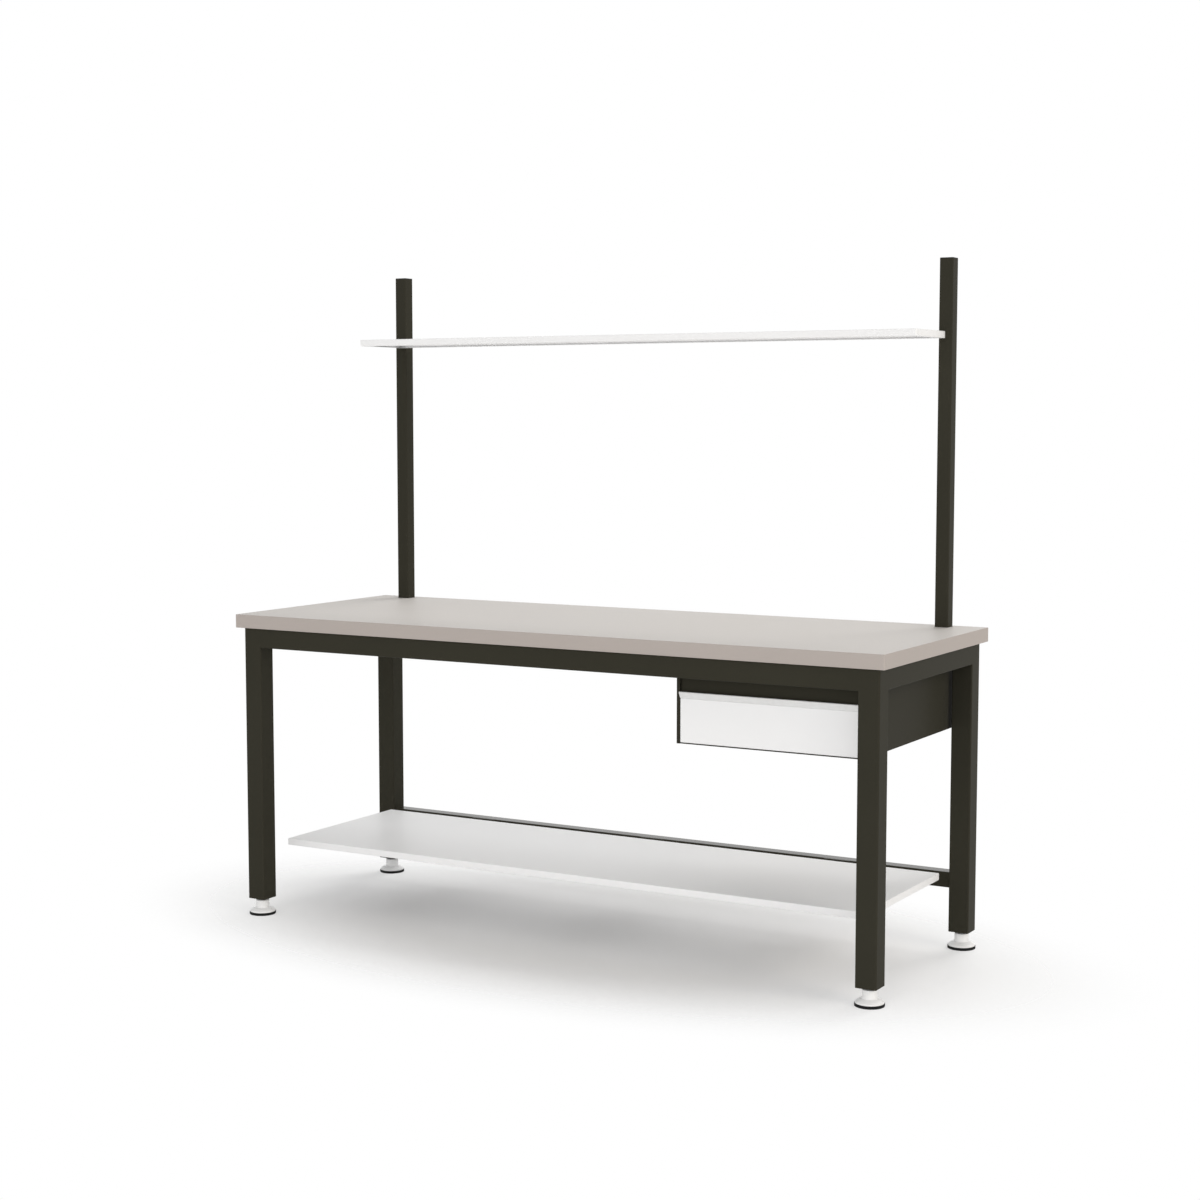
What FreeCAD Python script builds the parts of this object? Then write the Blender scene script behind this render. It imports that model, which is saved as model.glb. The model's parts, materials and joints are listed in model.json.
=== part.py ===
"""Workbench with an overhead shelf, a lower shelf and a drawer hung under the worktop.

Millimetres, +Z up. The origin is on the floor under the middle of the worktop. +X runs along the
bench to the right as seen from the front, and +Y runs to the back, where the uprights stand.
"""
import FreeCAD
import Part
import math
import os
import re
import Sketcher

# Driving dimensions, one cell of the sheet each.
SIZES = {
    # Worktop: board core, laminate face and plastic edging
    "worktop_length": 2100.0,
    "worktop_depth": 770.0,
    "worktop_thickness": 40.0,
    "laminate_thickness": 0.8,
    "edging_thickness": 2.0,
    "edging_corner": 4.0,
    "edging_ease": 1.0,
    # Frame of welded tube
    "leg_length": 832.0,
    "leg_width": 60.0,
    "tube_wall": 2.0,
    "tube_corner": 4.0,
    "least_corner": 0.5,
    "end_overhang": 20.0,
    "front_overhang": 18.0,
    "rear_overhang": 15.0,
    "rail_height": 60.0,
    "rail_width": 30.0,
    "stretcher_width": 45.0,
    "stretcher_drop": 5.0,
    # Angle tabs on the rails that hold the worktop, and its wood screws
    "tab_length": 40.0,
    "tab_leg": 25.0,
    "tab_thickness": 3.0,
    "wood_screw_diameter": 5.0,
    "wood_screw_cover": 17.2,
    "wood_screw_head_diameter": 10.0,
    "wood_screw_head_height": 3.5,
    "pilot_clearance": 0.1,
    # Levelling feet
    "foot_height": 50.0,
    "foot_pad_diameter": 80.0,
    "foot_pad_thickness": 8.0,
    "foot_base_step": 1.5,
    "foot_base_rim": 4.0,
    "foot_base_slope": 8.0,
    "foot_boss_diameter": 40.0,
    "foot_boss_gap": 6.0,
    "foot_crown_step": 10.0,
    "foot_crown_drop": 2.0,
    "foot_edge_ease": 1.0,
    "spindle_diameter": 16.0,
    "spindle_length": 110.0,
    "spindle_flats": 13.0,
    "spindle_floor": 4.0,
    "spindle_chamfer": 1.5,
    "spindle_clearance": 0.1,
    "insert_height": 30.0,
    "insert_clearance": 0.2,
    # Uprights, their spigots in the rear rail and their caps
    "upright_width": 40.0,
    "upright_wall": 2.0,
    "upright_corner": 3.0,
    "upright_length": 1036.0,
    "upright_inset": 18.0,
    "spigot_reach": 150.0,
    "spigot_clearance": 0.5,
    "spigot_wall": 2.0,
    "spigot_corner": 2.0,
    "spigot_bolt_edge": 40.0,
    "cap_thickness": 3.0,
    "cap_plug": 15.0,
    "cap_ease": 1.0,
    # Bolts, weld nuts and machine screws
    "bolt_diameter": 8.0,
    "bolt_length": 20.0,
    "bolt_head_width": 13.0,
    "bolt_head_height": 5.3,
    "nut_height": 6.5,
    "hole_clearance": 0.2,
    "thread_clearance": 0.1,
    "screw_diameter": 5.0,
    "screw_length": 10.0,
    "screw_head_diameter": 9.0,
    "screw_head_height": 2.8,
    # Overhead shelf: folded tray, hidden arms and a stiffener
    "overhead_depth": 221.0,
    "overhead_height": 20.0,
    "overhead_drop": 201.5,
    "overhead_sheet": 1.2,
    "overhead_lip": 15.0,
    "shelf_corner": 3.0,
    "shelf_ease": 1.0,
    "overhead_arm_width": 14.0,
    "overhead_arm_gap": 3.6,
    "overhead_arm_side_gap": 1.8,
    "overhead_arm_front_gap": 28.6,
    "overhead_bolt_bite": 18.8,
    "overhead_bore_tip": 3.0,
    "stiffener_width": 40.0,
    "stiffener_sheet": 1.2,
    "stiffener_end_gap": 6.0,
    # Lower shelf: folded tray on cantilever arms from the stretcher
    "lower_end_gap": 15.0,
    "lower_front_gap": 40.0,
    "lower_height": 20.0,
    "lower_top": 225.0,
    "lower_rear_gap": 43.5,
    "lower_sheet": 1.5,
    "lower_lip": 15.0,
    "lower_stiffener_gap": 0.5,
    "arm_pitch": 620.0,
    "arm_width": 40.0,
    "arm_sheet": 2.5,
    "arm_tip_gap": 52.0,
    "arm_tip_height": 14.0,
    "arm_plate_edge": 13.0,
    "arm_plate_thickness": 4.0,
    "arm_bolt_gap": 12.0,
    "arm_screw_inset": 90.5,
    # Drawer housing of folded sheet
    "housing_width": 547.0,
    "housing_side_gap": 10.0,
    "housing_height": 248.0,
    "housing_setback": 7.0,
    "housing_tail": 40.0,
    "housing_rail_gap": 2.0,
    "housing_sheet": 1.5,
    "housing_front_flange": 10.0,
    "housing_rear_flange": 12.0,
    "housing_top_flange": 22.0,
    "housing_lip": 2.5,
    "housing_screw_inset": 61.0,
    "filler_setback": 8.0,
    "filler_gap": 12.5,
    "filler_screw_inset": 160.0,
    "filler_return": 12.0,
    "filler_flange": 22.0,
    # Telescopic runners
    "runner_height": 45.7,
    "runner_thickness": 12.7,
    "runner_sheet": 1.2,
    "runner_clearance": 0.3,
    "runner_web_gap": 1.3,
    "runner_end_gap": 0.9,
    "runner_step": 1.0,
    "runner_front_gap": 2.0,
    "runner_rear_gap": 87.0,
    "packer_clearance": 1.0,
    "packer_flange": 12.0,
    "packer_sheet": 1.5,
    # Drawer
    "drawer_gap": 1.0,
    "drawer_side_gap": 0.5,
    "drawer_front_height": 121.0,
    "drawer_front_thickness": 18.0,
    "drawer_front_sheet": 1.2,
    "drawer_front_lip": 25.0,
    "drawer_front_corner": 2.0,
    "drawer_front_ease": 1.0,
    "drawer_box_drop": 8.5,
    "drawer_box_rise": 16.0,
    "drawer_box_sheet": 1.2,
    "grip_height": 19.0,
    "grip_lean": 10.0,
    "grip_wall": 2.5,
    "grip_lip": 5.0,
}

# Places and fits worked out from the driving dimensions.
DERIVED = {
    "frame_top": "foot_height + leg_length",
    "worktop_top": "frame_top + worktop_thickness",
    "core_length": "worktop_length - 2 * edging_thickness",
    "core_depth": "worktop_depth - 2 * edging_thickness",
    "core_corner": "max(edging_corner - edging_thickness; least_corner)",
    "core_thickness": "worktop_thickness - laminate_thickness",
    "leg_x": "worktop_length / 2 - end_overhang - leg_width / 2",
    "leg_inner_x": "leg_x - leg_width / 2",
    "front_leg_y": "front_overhang + leg_width / 2 - worktop_depth / 2",
    "rear_leg_y": "worktop_depth / 2 - rear_overhang - leg_width / 2",
    "front_leg_back_y": "front_leg_y + leg_width / 2",
    "rear_leg_front_y": "rear_leg_y - leg_width / 2",
    "rear_rail_back_y": "rear_leg_y + leg_width / 2",
    "rail_bottom": "frame_top - rail_height",
    "front_rail_y": "front_leg_y - leg_width / 2 + rail_width / 2",
    "side_rail_x": "leg_x + leg_width / 2 - rail_width / 2",
    "side_rail_length": "rear_leg_front_y - front_leg_back_y",
    "side_rail_y": "(rear_leg_front_y + front_leg_back_y) / 2",
    "front_tab_y": "front_rail_y + rail_width / 2",
    "side_tab_x": "side_rail_x - rail_width / 2",
    "tab_hole": "(tab_leg + tab_thickness) / 2",
    "wood_screw_length": "core_thickness + tab_thickness - wood_screw_cover",
    "pilot_depth": "wood_screw_length + pilot_clearance",
    "rear_tab_span": "leg_inner_x + housing_left",
    "foot_slope_top": "foot_pad_thickness + foot_base_rim + foot_base_slope",
    "foot_base_diameter": "foot_pad_diameter - 2 * foot_base_step",
    "spindle_seat": "foot_slope_top + spindle_floor",
    "upright_x": "leg_inner_x - upright_inset - upright_width / 2",
    "upright_back_y": "rear_leg_y + upright_width / 2",
    "upright_front_y": "rear_leg_y - upright_width / 2",
    "spigot_width": "upright_width - 2 * upright_wall - 2 * spigot_clearance",
    "spigot_hole": "spigot_width + 2 * spigot_clearance",
    "spigot_bottom": "rail_bottom + tube_wall",
    "spigot_length": "worktop_top + spigot_reach - spigot_bottom",
    "spigot_back_y": "rear_leg_y + spigot_width / 2",
    "rail_bolt_z": "rail_bottom + rail_height / 2",
    "bolt_hole": "bolt_diameter + 2 * hole_clearance",
    "screw_hole": "screw_diameter + 2 * hole_clearance",
    "overhead_top": "worktop_top + upright_length - overhead_drop",
    "overhead_bottom": "overhead_top - overhead_height",
    "overhead_length": "2 * upright_x",
    "overhead_y": "upright_front_y - overhead_depth / 2",
    "overhead_arm_height": "overhead_height - 2 * overhead_sheet - overhead_arm_gap",
    "overhead_arm_length": "overhead_depth - 2 * overhead_sheet - overhead_arm_front_gap",
    "overhead_arm_bore": "overhead_bolt_bite + overhead_bore_tip",
    "overhead_bolt_inset": "overhead_sheet + overhead_arm_side_gap + overhead_arm_width / 2",
    "long_bolt_length": "upright_width + overhead_sheet + overhead_bolt_bite",
    "overhead_bolt_x": "upright_x - overhead_bolt_inset",
    "overhead_arm_z": "overhead_top - overhead_sheet - overhead_arm_height / 2",
    "overhead_arm_back_y": "upright_front_y - overhead_sheet",
    "overhead_stiffener_length": "2 * (overhead_bolt_x - overhead_arm_width / 2 - stiffener_end_gap)",
    "stretcher_top": "lower_top - stretcher_drop",
    "stretcher_bottom": "stretcher_top - stretcher_width",
    "stretcher_z": "stretcher_top - stretcher_width / 2",
    "stretcher_front_y": "rear_leg_y - stretcher_width / 2",
    "lower_bottom": "lower_top - lower_height",
    "lower_back_y": "stretcher_front_y - lower_rear_gap",
    "lower_length": "2 * (leg_inner_x - lower_end_gap)",
    "lower_depth": "lower_back_y - front_leg_back_y - lower_front_gap",
    "lower_y": "lower_back_y - lower_depth / 2",
    "lower_front_y": "lower_back_y - lower_depth",
    "lower_stiffener_length": "lower_depth - 2 * (lower_lip + lower_stiffener_gap)",
    "arm_back_y": "stretcher_front_y - arm_plate_thickness",
    "arm_length": "arm_back_y - lower_front_y - arm_tip_gap",
    "arm_bolt_pitch": "arm_width + 2 * arm_bolt_gap",
    "arm_plate_width": "arm_bolt_pitch + 2 * arm_plate_edge",
    "arm_screw_pitch": "lower_depth - 2 * arm_screw_inset",
    "arm_root_height": "lower_bottom - stretcher_bottom",
    "housing_right": "leg_inner_x - housing_side_gap",
    "housing_left": "housing_right - housing_width",
    "housing_x": "housing_right - housing_width / 2",
    "housing_front_y": "front_leg_back_y + housing_setback",
    "housing_notch_y": "rear_leg_front_y - housing_front_y",
    "housing_depth": "housing_notch_y + housing_tail",
    "housing_back_y": "housing_front_y + housing_depth",
    "housing_bottom": "frame_top - housing_height",
    "housing_shoulder": "rail_bottom - housing_rail_gap - housing_bottom",
    "housing_inner_width": "housing_width - 2 * housing_sheet",
    "housing_flange_start": "filler_setback + filler_flange + housing_sheet",
    "housing_flange_end": "housing_notch_y - 2 * housing_sheet",
    "housing_flange_middle": "(housing_flange_start + housing_flange_end) / 2",
    "housing_screw_pitch": "(housing_flange_end - housing_flange_start) / 2 - housing_screw_inset",
    "filler_screw_x": "housing_inner_width / 2 - filler_screw_inset",
    "housing_flange_hole": "housing_sheet + housing_top_flange / 2",
    "drawer_front_bottom": "housing_bottom + housing_lip + drawer_gap",
    "drawer_front_top": "drawer_front_bottom + drawer_front_height",
    "drawer_front_width": "housing_width - 2 * (housing_front_flange + drawer_side_gap)",
    "drawer_front_back_y": "housing_front_y + drawer_front_thickness",
    "filler_y": "housing_front_y + filler_setback",
    "filler_bottom": "box_bottom + drawer_box_height + filler_gap",
    "filler_height": "frame_top - filler_bottom",
    "runner_x": "housing_width / 2 - housing_sheet - packer_depth",
    "packer_depth": "housing_front_flange - housing_sheet + packer_clearance",
    "runner_front_y": "drawer_front_back_y + runner_front_gap",
    "runner_length": "rear_leg_front_y - 2 * housing_sheet - runner_rear_gap - runner_front_y",
    "runner_y": "runner_front_y + runner_length / 2",
    "runner_z": "box_bottom + drawer_box_height / 2",
    "runner_middle_start": "runner_sheet + runner_web_gap",
    "runner_middle_end": "runner_thickness - runner_sheet - runner_end_gap",
    "runner_outer_depth": "runner_middle_end - runner_step",
    "runner_inner_start": "runner_middle_start + runner_sheet + runner_web_gap",
    "runner_half": "runner_height / 2",
    "middle_half": "runner_half - runner_sheet - runner_clearance",
    "inner_half": "middle_half - runner_sheet - runner_clearance",
    "box_width": "2 * (runner_x - runner_thickness)",
    "box_depth": "runner_front_gap + runner_length",
    "box_bottom": "housing_bottom + drawer_box_rise",
    "drawer_box_height": "drawer_front_top - drawer_box_drop - box_bottom",
    "box_y": "drawer_front_back_y + box_depth / 2",
    "box_inner_width": "box_width - 2 * drawer_box_sheet",
    "box_end_height": "drawer_box_height - drawer_box_sheet",
    "box_end_z": "box_bottom + drawer_box_sheet + box_end_height / 2",
    "front_lip_x": "drawer_front_width / 2 - drawer_front_lip",
    "front_screw_x": "(box_width / 2 - drawer_box_sheet + front_lip_x) / 2",
    "front_screw_low": "(box_bottom + drawer_box_sheet + drawer_front_bottom + drawer_front_lip) / 2",
    "front_screw_high": "drawer_front_top - (drawer_box_drop + drawer_front_lip) / 2",
}

SIDES = {"left": -1, "right": 1}
ENDS = {"front": "front_leg_y", "rear": "rear_leg_y"}
ARM_PLACES = ("-arm_pitch", "0", "arm_pitch")
WORD = re.compile(r"[a-z][a-z0-9_]+")

AHEAD = FreeCAD.Rotation()
ABOUT = FreeCAD.Rotation(FreeCAD.Vector(0, 0, 1), 180)
TURN_LEFT = FreeCAD.Rotation(FreeCAD.Vector(0, 0, 1), 90)
TURN_RIGHT = FreeCAD.Rotation(FreeCAD.Vector(0, 0, 1), -90)
TO_FRONT = FreeCAD.Rotation(FreeCAD.Vector(1, 0, 0), 90)
TO_BACK = FreeCAD.Rotation(FreeCAD.Vector(1, 0, 0), -90)

doc = FreeCAD.newDocument("workbench")
sheet = doc.addObject("Spreadsheet::Sheet", "sizes")
for row, (alias, number) in enumerate(SIZES.items(), start=1):
    sheet.set(f"A{row}", alias)
    sheet.set(f"B{row}", str(number))
    sheet.setAlias(f"B{row}", alias)
doc.recompute()
parts = []


def tie(formula):
    """Spell a formula out in cells of the sheet."""
    def spell(match):
        word = match.group(0)
        if word in DERIVED:
            return f"({tie(DERIVED[word])})"
        return f"sizes.{word}" if word in SIZES else word
    return WORD.sub(spell, str(formula))


def size(formula):
    """Present value of a formula in millimetres."""
    return float(sheet.evalExpression(tie(formula)))


def new_body(label, kept=True):
    """Start a body; a kept one is a piece of the bench, another is a pattern for a group."""
    body = doc.addObject("PartDesign::Body", label)
    body.Label = label
    if kept:
        parts.append(body)
    return body


def place(body, x, y, z, turn=AHEAD):
    """Turn a body and tie its place to the sheet."""
    body.Placement = FreeCAD.Placement(FreeCAD.Vector(), turn)
    for axis, formula in zip("xyz", (x, y, z)):
        body.setExpression(f"Placement.Base.{axis}", tie(formula))


def sketch_on(body, plane, offset="0"):
    """Start a sketch on an origin plane of the body, moved along the plane's normal."""
    sketch = body.newObject("Sketcher::SketchObject", f"{body.Name}_outline")
    support = next(f for f in body.Origin.OriginFeatures if f.Role == plane)
    sketch.AttachmentSupport = (support, "")
    sketch.MapMode = "FlatFace"
    sketch.setExpression("AttachmentOffset.Base.z", tie(offset))
    return sketch


def bind(sketch, constraint, formula):
    """Add a dimension to a sketch and tie it to the sheet."""
    index = sketch.addConstraint(constraint)
    sketch.renameConstraint(index, f"size_{index}")
    sketch.setExpression(f"Constraints.size_{index}", tie(formula))


def bind_point(sketch, element, point, x, y):
    """Tie a point of a sketch element to its distances from the sketch's origin."""
    for axis, formula in zip("XY", (x, y)):
        distance = Sketcher.Constraint(f"Distance{axis}", -1, 1, element, point, size(formula))
        bind(sketch, distance, formula)


def polygon(sketch, points):
    """Closed outline of straight lines through points given as formulas."""
    corners = [FreeCAD.Vector(size(x), size(y), 0) for x, y in points]
    first = sketch.GeometryCount
    count = len(corners)
    for k in range(count):
        sketch.addGeometry(Part.LineSegment(corners[k], corners[(k + 1) % count]))
    for k in range(count):
        following = first + (k + 1) % count
        sketch.addConstraint(Sketcher.Constraint("Coincident", first + k, 2, following, 1))
    for k, (x, y) in enumerate(points):
        bind_point(sketch, first + k, 1, x, y)


def rectangle(sketch, width, height, x="0", y="0"):
    """Plain rectangle about (x, y)."""
    low_x, high_x = f"{x} - ({width}) / 2", f"{x} + ({width}) / 2"
    low_y, high_y = f"{y} - ({height}) / 2", f"{y} + ({height}) / 2"
    polygon(sketch, [(low_x, low_y), (high_x, low_y), (high_x, high_y), (low_x, high_y)])


def rounded(sketch, width, height, corner):
    """Rectangle about the sketch's origin with round corners."""
    radius = size(corner)
    reach_x = size(width) / 2 - radius
    reach_y = size(height) / 2 - radius
    first = sketch.GeometryCount
    normal = FreeCAD.Vector(0, 0, 1)
    arcs = []
    for k, (sign_x, sign_y) in enumerate(((1, 1), (-1, 1), (-1, -1), (1, -1))):
        centre = FreeCAD.Vector(sign_x * reach_x, sign_y * reach_y, 0)
        start = k * math.pi / 2
        arcs.append(Part.ArcOfCircle(Part.Circle(centre, normal, radius), start, start + math.pi / 2))
        sketch.addGeometry(arcs[k])
    for k in range(4):
        sketch.addGeometry(Part.LineSegment(arcs[k].EndPoint, arcs[(k + 1) % 4].StartPoint))
    for k in range(4):
        arc, line, following = first + k, first + 4 + k, first + (k + 1) % 4
        sketch.addConstraint(Sketcher.Constraint("Tangent", arc, 2, line, 1))
        sketch.addConstraint(Sketcher.Constraint("Tangent", line, 2, following, 1))
        sketch.addConstraint(Sketcher.Constraint("Vertical" if k % 2 else "Horizontal", line))
    for k in range(1, 4):
        sketch.addConstraint(Sketcher.Constraint("Equal", first, first + k))
    bind(sketch, Sketcher.Constraint("Radius", first, radius), corner)
    across, along = f"({width}) / 2 - {corner}", f"({height}) / 2 - {corner}"
    bind_point(sketch, first, 3, across, along)
    bind_point(sketch, first + 2, 3, f"-({across})", f"-({along})")


def circles(sketch, centres, diameter):
    """Circles of one diameter at centres given as formulas."""
    normal = FreeCAD.Vector(0, 0, 1)
    for x, y in centres:
        centre = FreeCAD.Vector(size(x), size(y), 0)
        index = sketch.addGeometry(Part.Circle(centre, normal, size(diameter) / 2))
        bind(sketch, Sketcher.Constraint("Diameter", index, size(diameter)), diameter)
        bind_point(sketch, index, 3, x, y)


def pad(body, sketch, length):
    """Raise a sketch along its normal."""
    feature = body.newObject("PartDesign::Pad", f"{body.Name}_pad")
    feature.Profile = sketch
    feature.setExpression("Length", tie(length))
    doc.recompute()
    return feature


def pocket(body, sketch, length):
    """Cut a sketch out of the body along the sketch's normal, and make sure that it cuts."""
    before = body.Shape.Volume
    feature = body.newObject("PartDesign::Pocket", f"{body.Name}_pocket")
    feature.Profile = sketch
    feature.Reversed = True
    feature.setExpression("Length", tie(length))
    doc.recompute()
    if not body.Shape.Volume < before:
        raise RuntimeError(f"{body.Label}: a pocket cuts nothing")
    return feature


def revolve(body, points):
    """Turn an outline of (radius, height) points about the body's Z axis."""
    sketch = sketch_on(body, "XZ_Plane")
    polygon(sketch, points)
    feature = body.newObject("PartDesign::Revolution", f"{body.Name}_turned")
    feature.Profile = sketch
    feature.ReferenceAxis = (sketch, ["V_Axis"])
    feature.Angle = 360
    doc.recompute()
    return feature


def drill(body, plane, offset, depth, centres, diameter):
    """Round holes from a plane of the body along that plane's normal."""
    sketch = sketch_on(body, plane, offset)
    circles(sketch, centres, diameter)
    pocket(body, sketch, depth)


def ease_rim(body, feature, setback, level):
    """Chamfer every edge of a feature that lies wholly at one height."""
    height = size(level)
    names = [
        f"Edge{k}" for k, edge in enumerate(feature.Shape.Edges, start=1)
        if abs(edge.BoundBox.ZMin - height) < 0.001 and abs(edge.BoundBox.ZMax - height) < 0.001
    ]
    eased = body.newObject("PartDesign::Chamfer", f"{body.Name}_eased")
    eased.Base = (feature, names)
    eased.setExpression("Size", tie(setback))
    doc.recompute()
    return eased


def profile(label, plane, points, length, kept=True):
    """Straight length of a folded or drawn profile, centred on its plane."""
    body = new_body(label, kept)
    sketch = sketch_on(body, plane, f"-({length}) / 2")
    polygon(sketch, points)
    pad(body, sketch, length)
    return body


def tube(label, plane, width, height, length, wall="tube_wall", corner="tube_corner", start="0"):
    """Rectangular hollow section with round corners."""
    body = new_body(label)
    sketch = sketch_on(body, plane, start)
    rounded(sketch, width, height, corner)
    inner_corner = f"max({corner} - {wall}; least_corner)"
    rounded(sketch, f"{width} - 2 * {wall}", f"{height} - 2 * {wall}", inner_corner)
    pad(body, sketch, length)
    return body


def tray(label, length, depth, height, gauge, lip, corner, edge_ease):
    """Sheet folded down on four sides and returned inwards, with its plain face on top."""
    body = new_body(label)
    outline = sketch_on(body, "XY_Plane")
    rounded(outline, length, depth, corner)
    block = pad(body, outline, height)
    ease_rim(body, block, edge_ease, height)
    mouth = sketch_on(body, "XY_Plane")
    rectangle(mouth, f"{length} - 2 * {lip}", f"{depth} - 2 * {lip}")
    pocket(body, mouth, gauge)
    hollow = sketch_on(body, "XY_Plane", gauge)
    rectangle(hollow, f"{length} - 2 * {gauge}", f"{depth} - 2 * {gauge}")
    pocket(body, hollow, f"{height} - 2 * {gauge}")
    return body


def group(label, pattern, places):
    """One node of like pieces: copies of a pattern at places (x, y, z, turn)."""
    copies = []
    for k, (x, y, z, turn) in enumerate(places):
        copy = doc.addObject("App::Link", f"{label}_{k}")
        copy.LinkedObject = pattern
        copy.LinkPlacement = FreeCAD.Placement(FreeCAD.Vector(), turn)
        for axis, formula in zip("xyz", (x, y, z)):
            copy.setExpression(f"LinkPlacement.Base.{axis}", tie(formula))
        copies.append(copy)
    bundle(label, copies)


def bundle(label, pieces):
    """One node of several separate pieces."""
    compound = doc.addObject("Part::Compound", label)
    compound.Label = label
    compound.Links = pieces
    doc.recompute()
    parts.append(compound)


def hexagon(width):
    """Corners of a hexagon from its width across flats."""
    return [(f"{width} / sqrt(3) * cos({60 * k} deg)", f"{width} / sqrt(3) * sin({60 * k} deg)")
            for k in range(6)]


def hex_bolt(label, length):
    """Hexagon bolt whose head seats at height 0 and whose shank points up."""
    body = new_body(label, kept=False)
    head = sketch_on(body, "XY_Plane", "-bolt_head_height")
    polygon(head, hexagon("bolt_head_width"))
    pad(body, head, "bolt_head_height")
    shank = sketch_on(body, "XY_Plane")
    circles(shank, [("0", "0")], "bolt_diameter")
    pad(body, shank, length)
    return body


def weld_nut():
    """Hexagon nut that stands on height 0."""
    body = new_body("weld_nut", kept=False)
    outline = sketch_on(body, "XY_Plane")
    polygon(outline, hexagon("bolt_head_width"))
    circles(outline, [("0", "0")], "bolt_diameter + 2 * thread_clearance")
    pad(body, outline, "nut_height")
    return body


def pan_screw(label, prefix):
    """Pan head screw whose head seats at height 0 and whose shank points up."""
    body = new_body(label, kept=False)
    head, shank = f"{prefix}_head_diameter / 2", f"{prefix}_diameter / 2"
    revolve(body, [
        ("0", f"-{prefix}_head_height"),
        (head, f"-{prefix}_head_height"),
        (head, "0"),
        (shank, "0"),
        (shank, f"{prefix}_length"),
        ("0", f"{prefix}_length"),
    ])
    return body


def wood_screw_places():
    """Seats of the wood screws, under the tabs and under the drawer housing's flanges."""
    tab_z = "frame_top - tab_thickness"
    flange_z = "frame_top - housing_sheet"
    places = [(x, "front_tab_y + tab_hole", tab_z) for x in front_tab_xs()]
    places += [(x, "rear_leg_front_y - tab_hole", tab_z) for x in rear_tab_xs()]
    for sign in SIDES.values():
        places.append((f"{sign} * (side_tab_x - tab_hole)", "side_rail_y", tab_z))
        x = f"housing_x + {sign} * (housing_width / 2 - housing_flange_hole)"
        for step in (-1, 0, 1):
            y = f"housing_front_y + housing_flange_middle + {step} * housing_screw_pitch"
            places.append((x, y, flange_z))
    for sign in SIDES.values():
        x = f"housing_x + {sign} * filler_screw_x"
        places.append((x, "filler_y + filler_flange / 2", flange_z))
    return places


def front_tab_xs():
    """Places of the tabs along the front rail."""
    return [f"{share} * leg_inner_x" for share in (-0.75, -0.25, 0.25, 0.75)]


def rear_tab_xs():
    """Places of the tabs along the rear rail, clear of the drawer housing."""
    return [f"{step} * rear_tab_span / 6 - leg_inner_x" for step in (1, 3, 5)]


def build_worktop():
    """Board core with holes for the spigots and screws, a laminate face and an edging all round."""
    holes = [f"{sign} * upright_x" for sign in SIDES.values()]
    for label, thickness, z in (
        ("worktop_core", "core_thickness", "frame_top"),
        ("worktop_laminate", "laminate_thickness", "frame_top + core_thickness"),
    ):
        body = new_body(label)
        outline = sketch_on(body, "XY_Plane")
        rounded(outline, "core_length", "core_depth", "core_corner")
        pad(body, outline, thickness)
        openings = sketch_on(body, "XY_Plane")
        for x in holes:
            rectangle(openings, "spigot_hole", "spigot_hole", x, "rear_leg_y")
        pocket(body, openings, thickness)
        if label == "worktop_core":
            centres = [(x, y) for x, y, _ in wood_screw_places()]
            pilot = "wood_screw_diameter + 2 * pilot_clearance"
            drill(body, "XY_Plane", "0", "pilot_depth", centres, pilot)
        place(body, "0", "0", z)
    edging = new_body("worktop_edging")
    band = sketch_on(edging, "XY_Plane")
    rounded(band, "worktop_length", "worktop_depth", "edging_corner")
    block = pad(edging, band, "worktop_thickness")
    for level in ("worktop_thickness", "0"):
        block = ease_rim(edging, block, "edging_ease", level)
    inside = sketch_on(edging, "XY_Plane")
    rounded(inside, "core_length", "core_depth", "core_corner")
    pocket(edging, inside, "worktop_thickness")
    place(edging, "0", "0", "frame_top")


def build_frame():
    """Four legs, four top rails and the rear stretcher, butted and welded."""
    for side, sign in SIDES.items():
        for end, y in ENDS.items():
            leg = tube(f"leg_{end}_{side}", "XY_Plane", "leg_width", "leg_width", "leg_length")
            place(leg, f"{sign} * leg_x", y, "foot_height")
        rail = tube(f"side_rail_{side}", "XZ_Plane", "rail_width", "rail_height", "side_rail_length",
                    start="-side_rail_length / 2")
        place(rail, f"{sign} * side_rail_x", "side_rail_y", "frame_top - rail_height / 2")
    front = tube("front_rail", "YZ_Plane", "rail_width", "rail_height", "2 * leg_inner_x",
                 start="-leg_inner_x")
    place(front, "0", "front_rail_y", "frame_top - rail_height / 2")
    rear = tube("rear_rail", "YZ_Plane", "leg_width", "rail_height", "2 * leg_inner_x",
                start="-leg_inner_x")
    sockets = sketch_on(rear, "XY_Plane", "rail_height / 2 - 2 * tube_wall")
    for sign in SIDES.values():
        rectangle(sockets, "spigot_hole", "spigot_hole", f"{sign} * upright_x")
    pocket(rear, sockets, "2 * tube_wall")
    bolt_holes = [(f"{sign} * upright_x", "0") for sign in SIDES.values()]
    drill(rear, "XZ_Plane", "-leg_width / 2", "2 * tube_wall", bolt_holes, "bolt_hole")
    place(rear, "0", "rear_leg_y", "frame_top - rail_height / 2")
    stretcher = tube("rear_stretcher", "YZ_Plane", "stretcher_width", "stretcher_width",
                     "2 * leg_inner_x", start="-leg_inner_x")
    arm_holes = [(x, "0") for x in arm_bolt_xs()]
    drill(stretcher, "XZ_Plane", "stretcher_width / 2 - 2 * tube_wall", "2 * tube_wall",
          arm_holes, "bolt_hole")
    place(stretcher, "0", "rear_leg_y", "stretcher_z")


def arm_bolt_xs():
    """Places along the bench of the bolts that hold the lower shelf's arms."""
    return [f"{x} + {sign} * arm_bolt_pitch / 2" for x in ARM_PLACES for sign in SIDES.values()]


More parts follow.
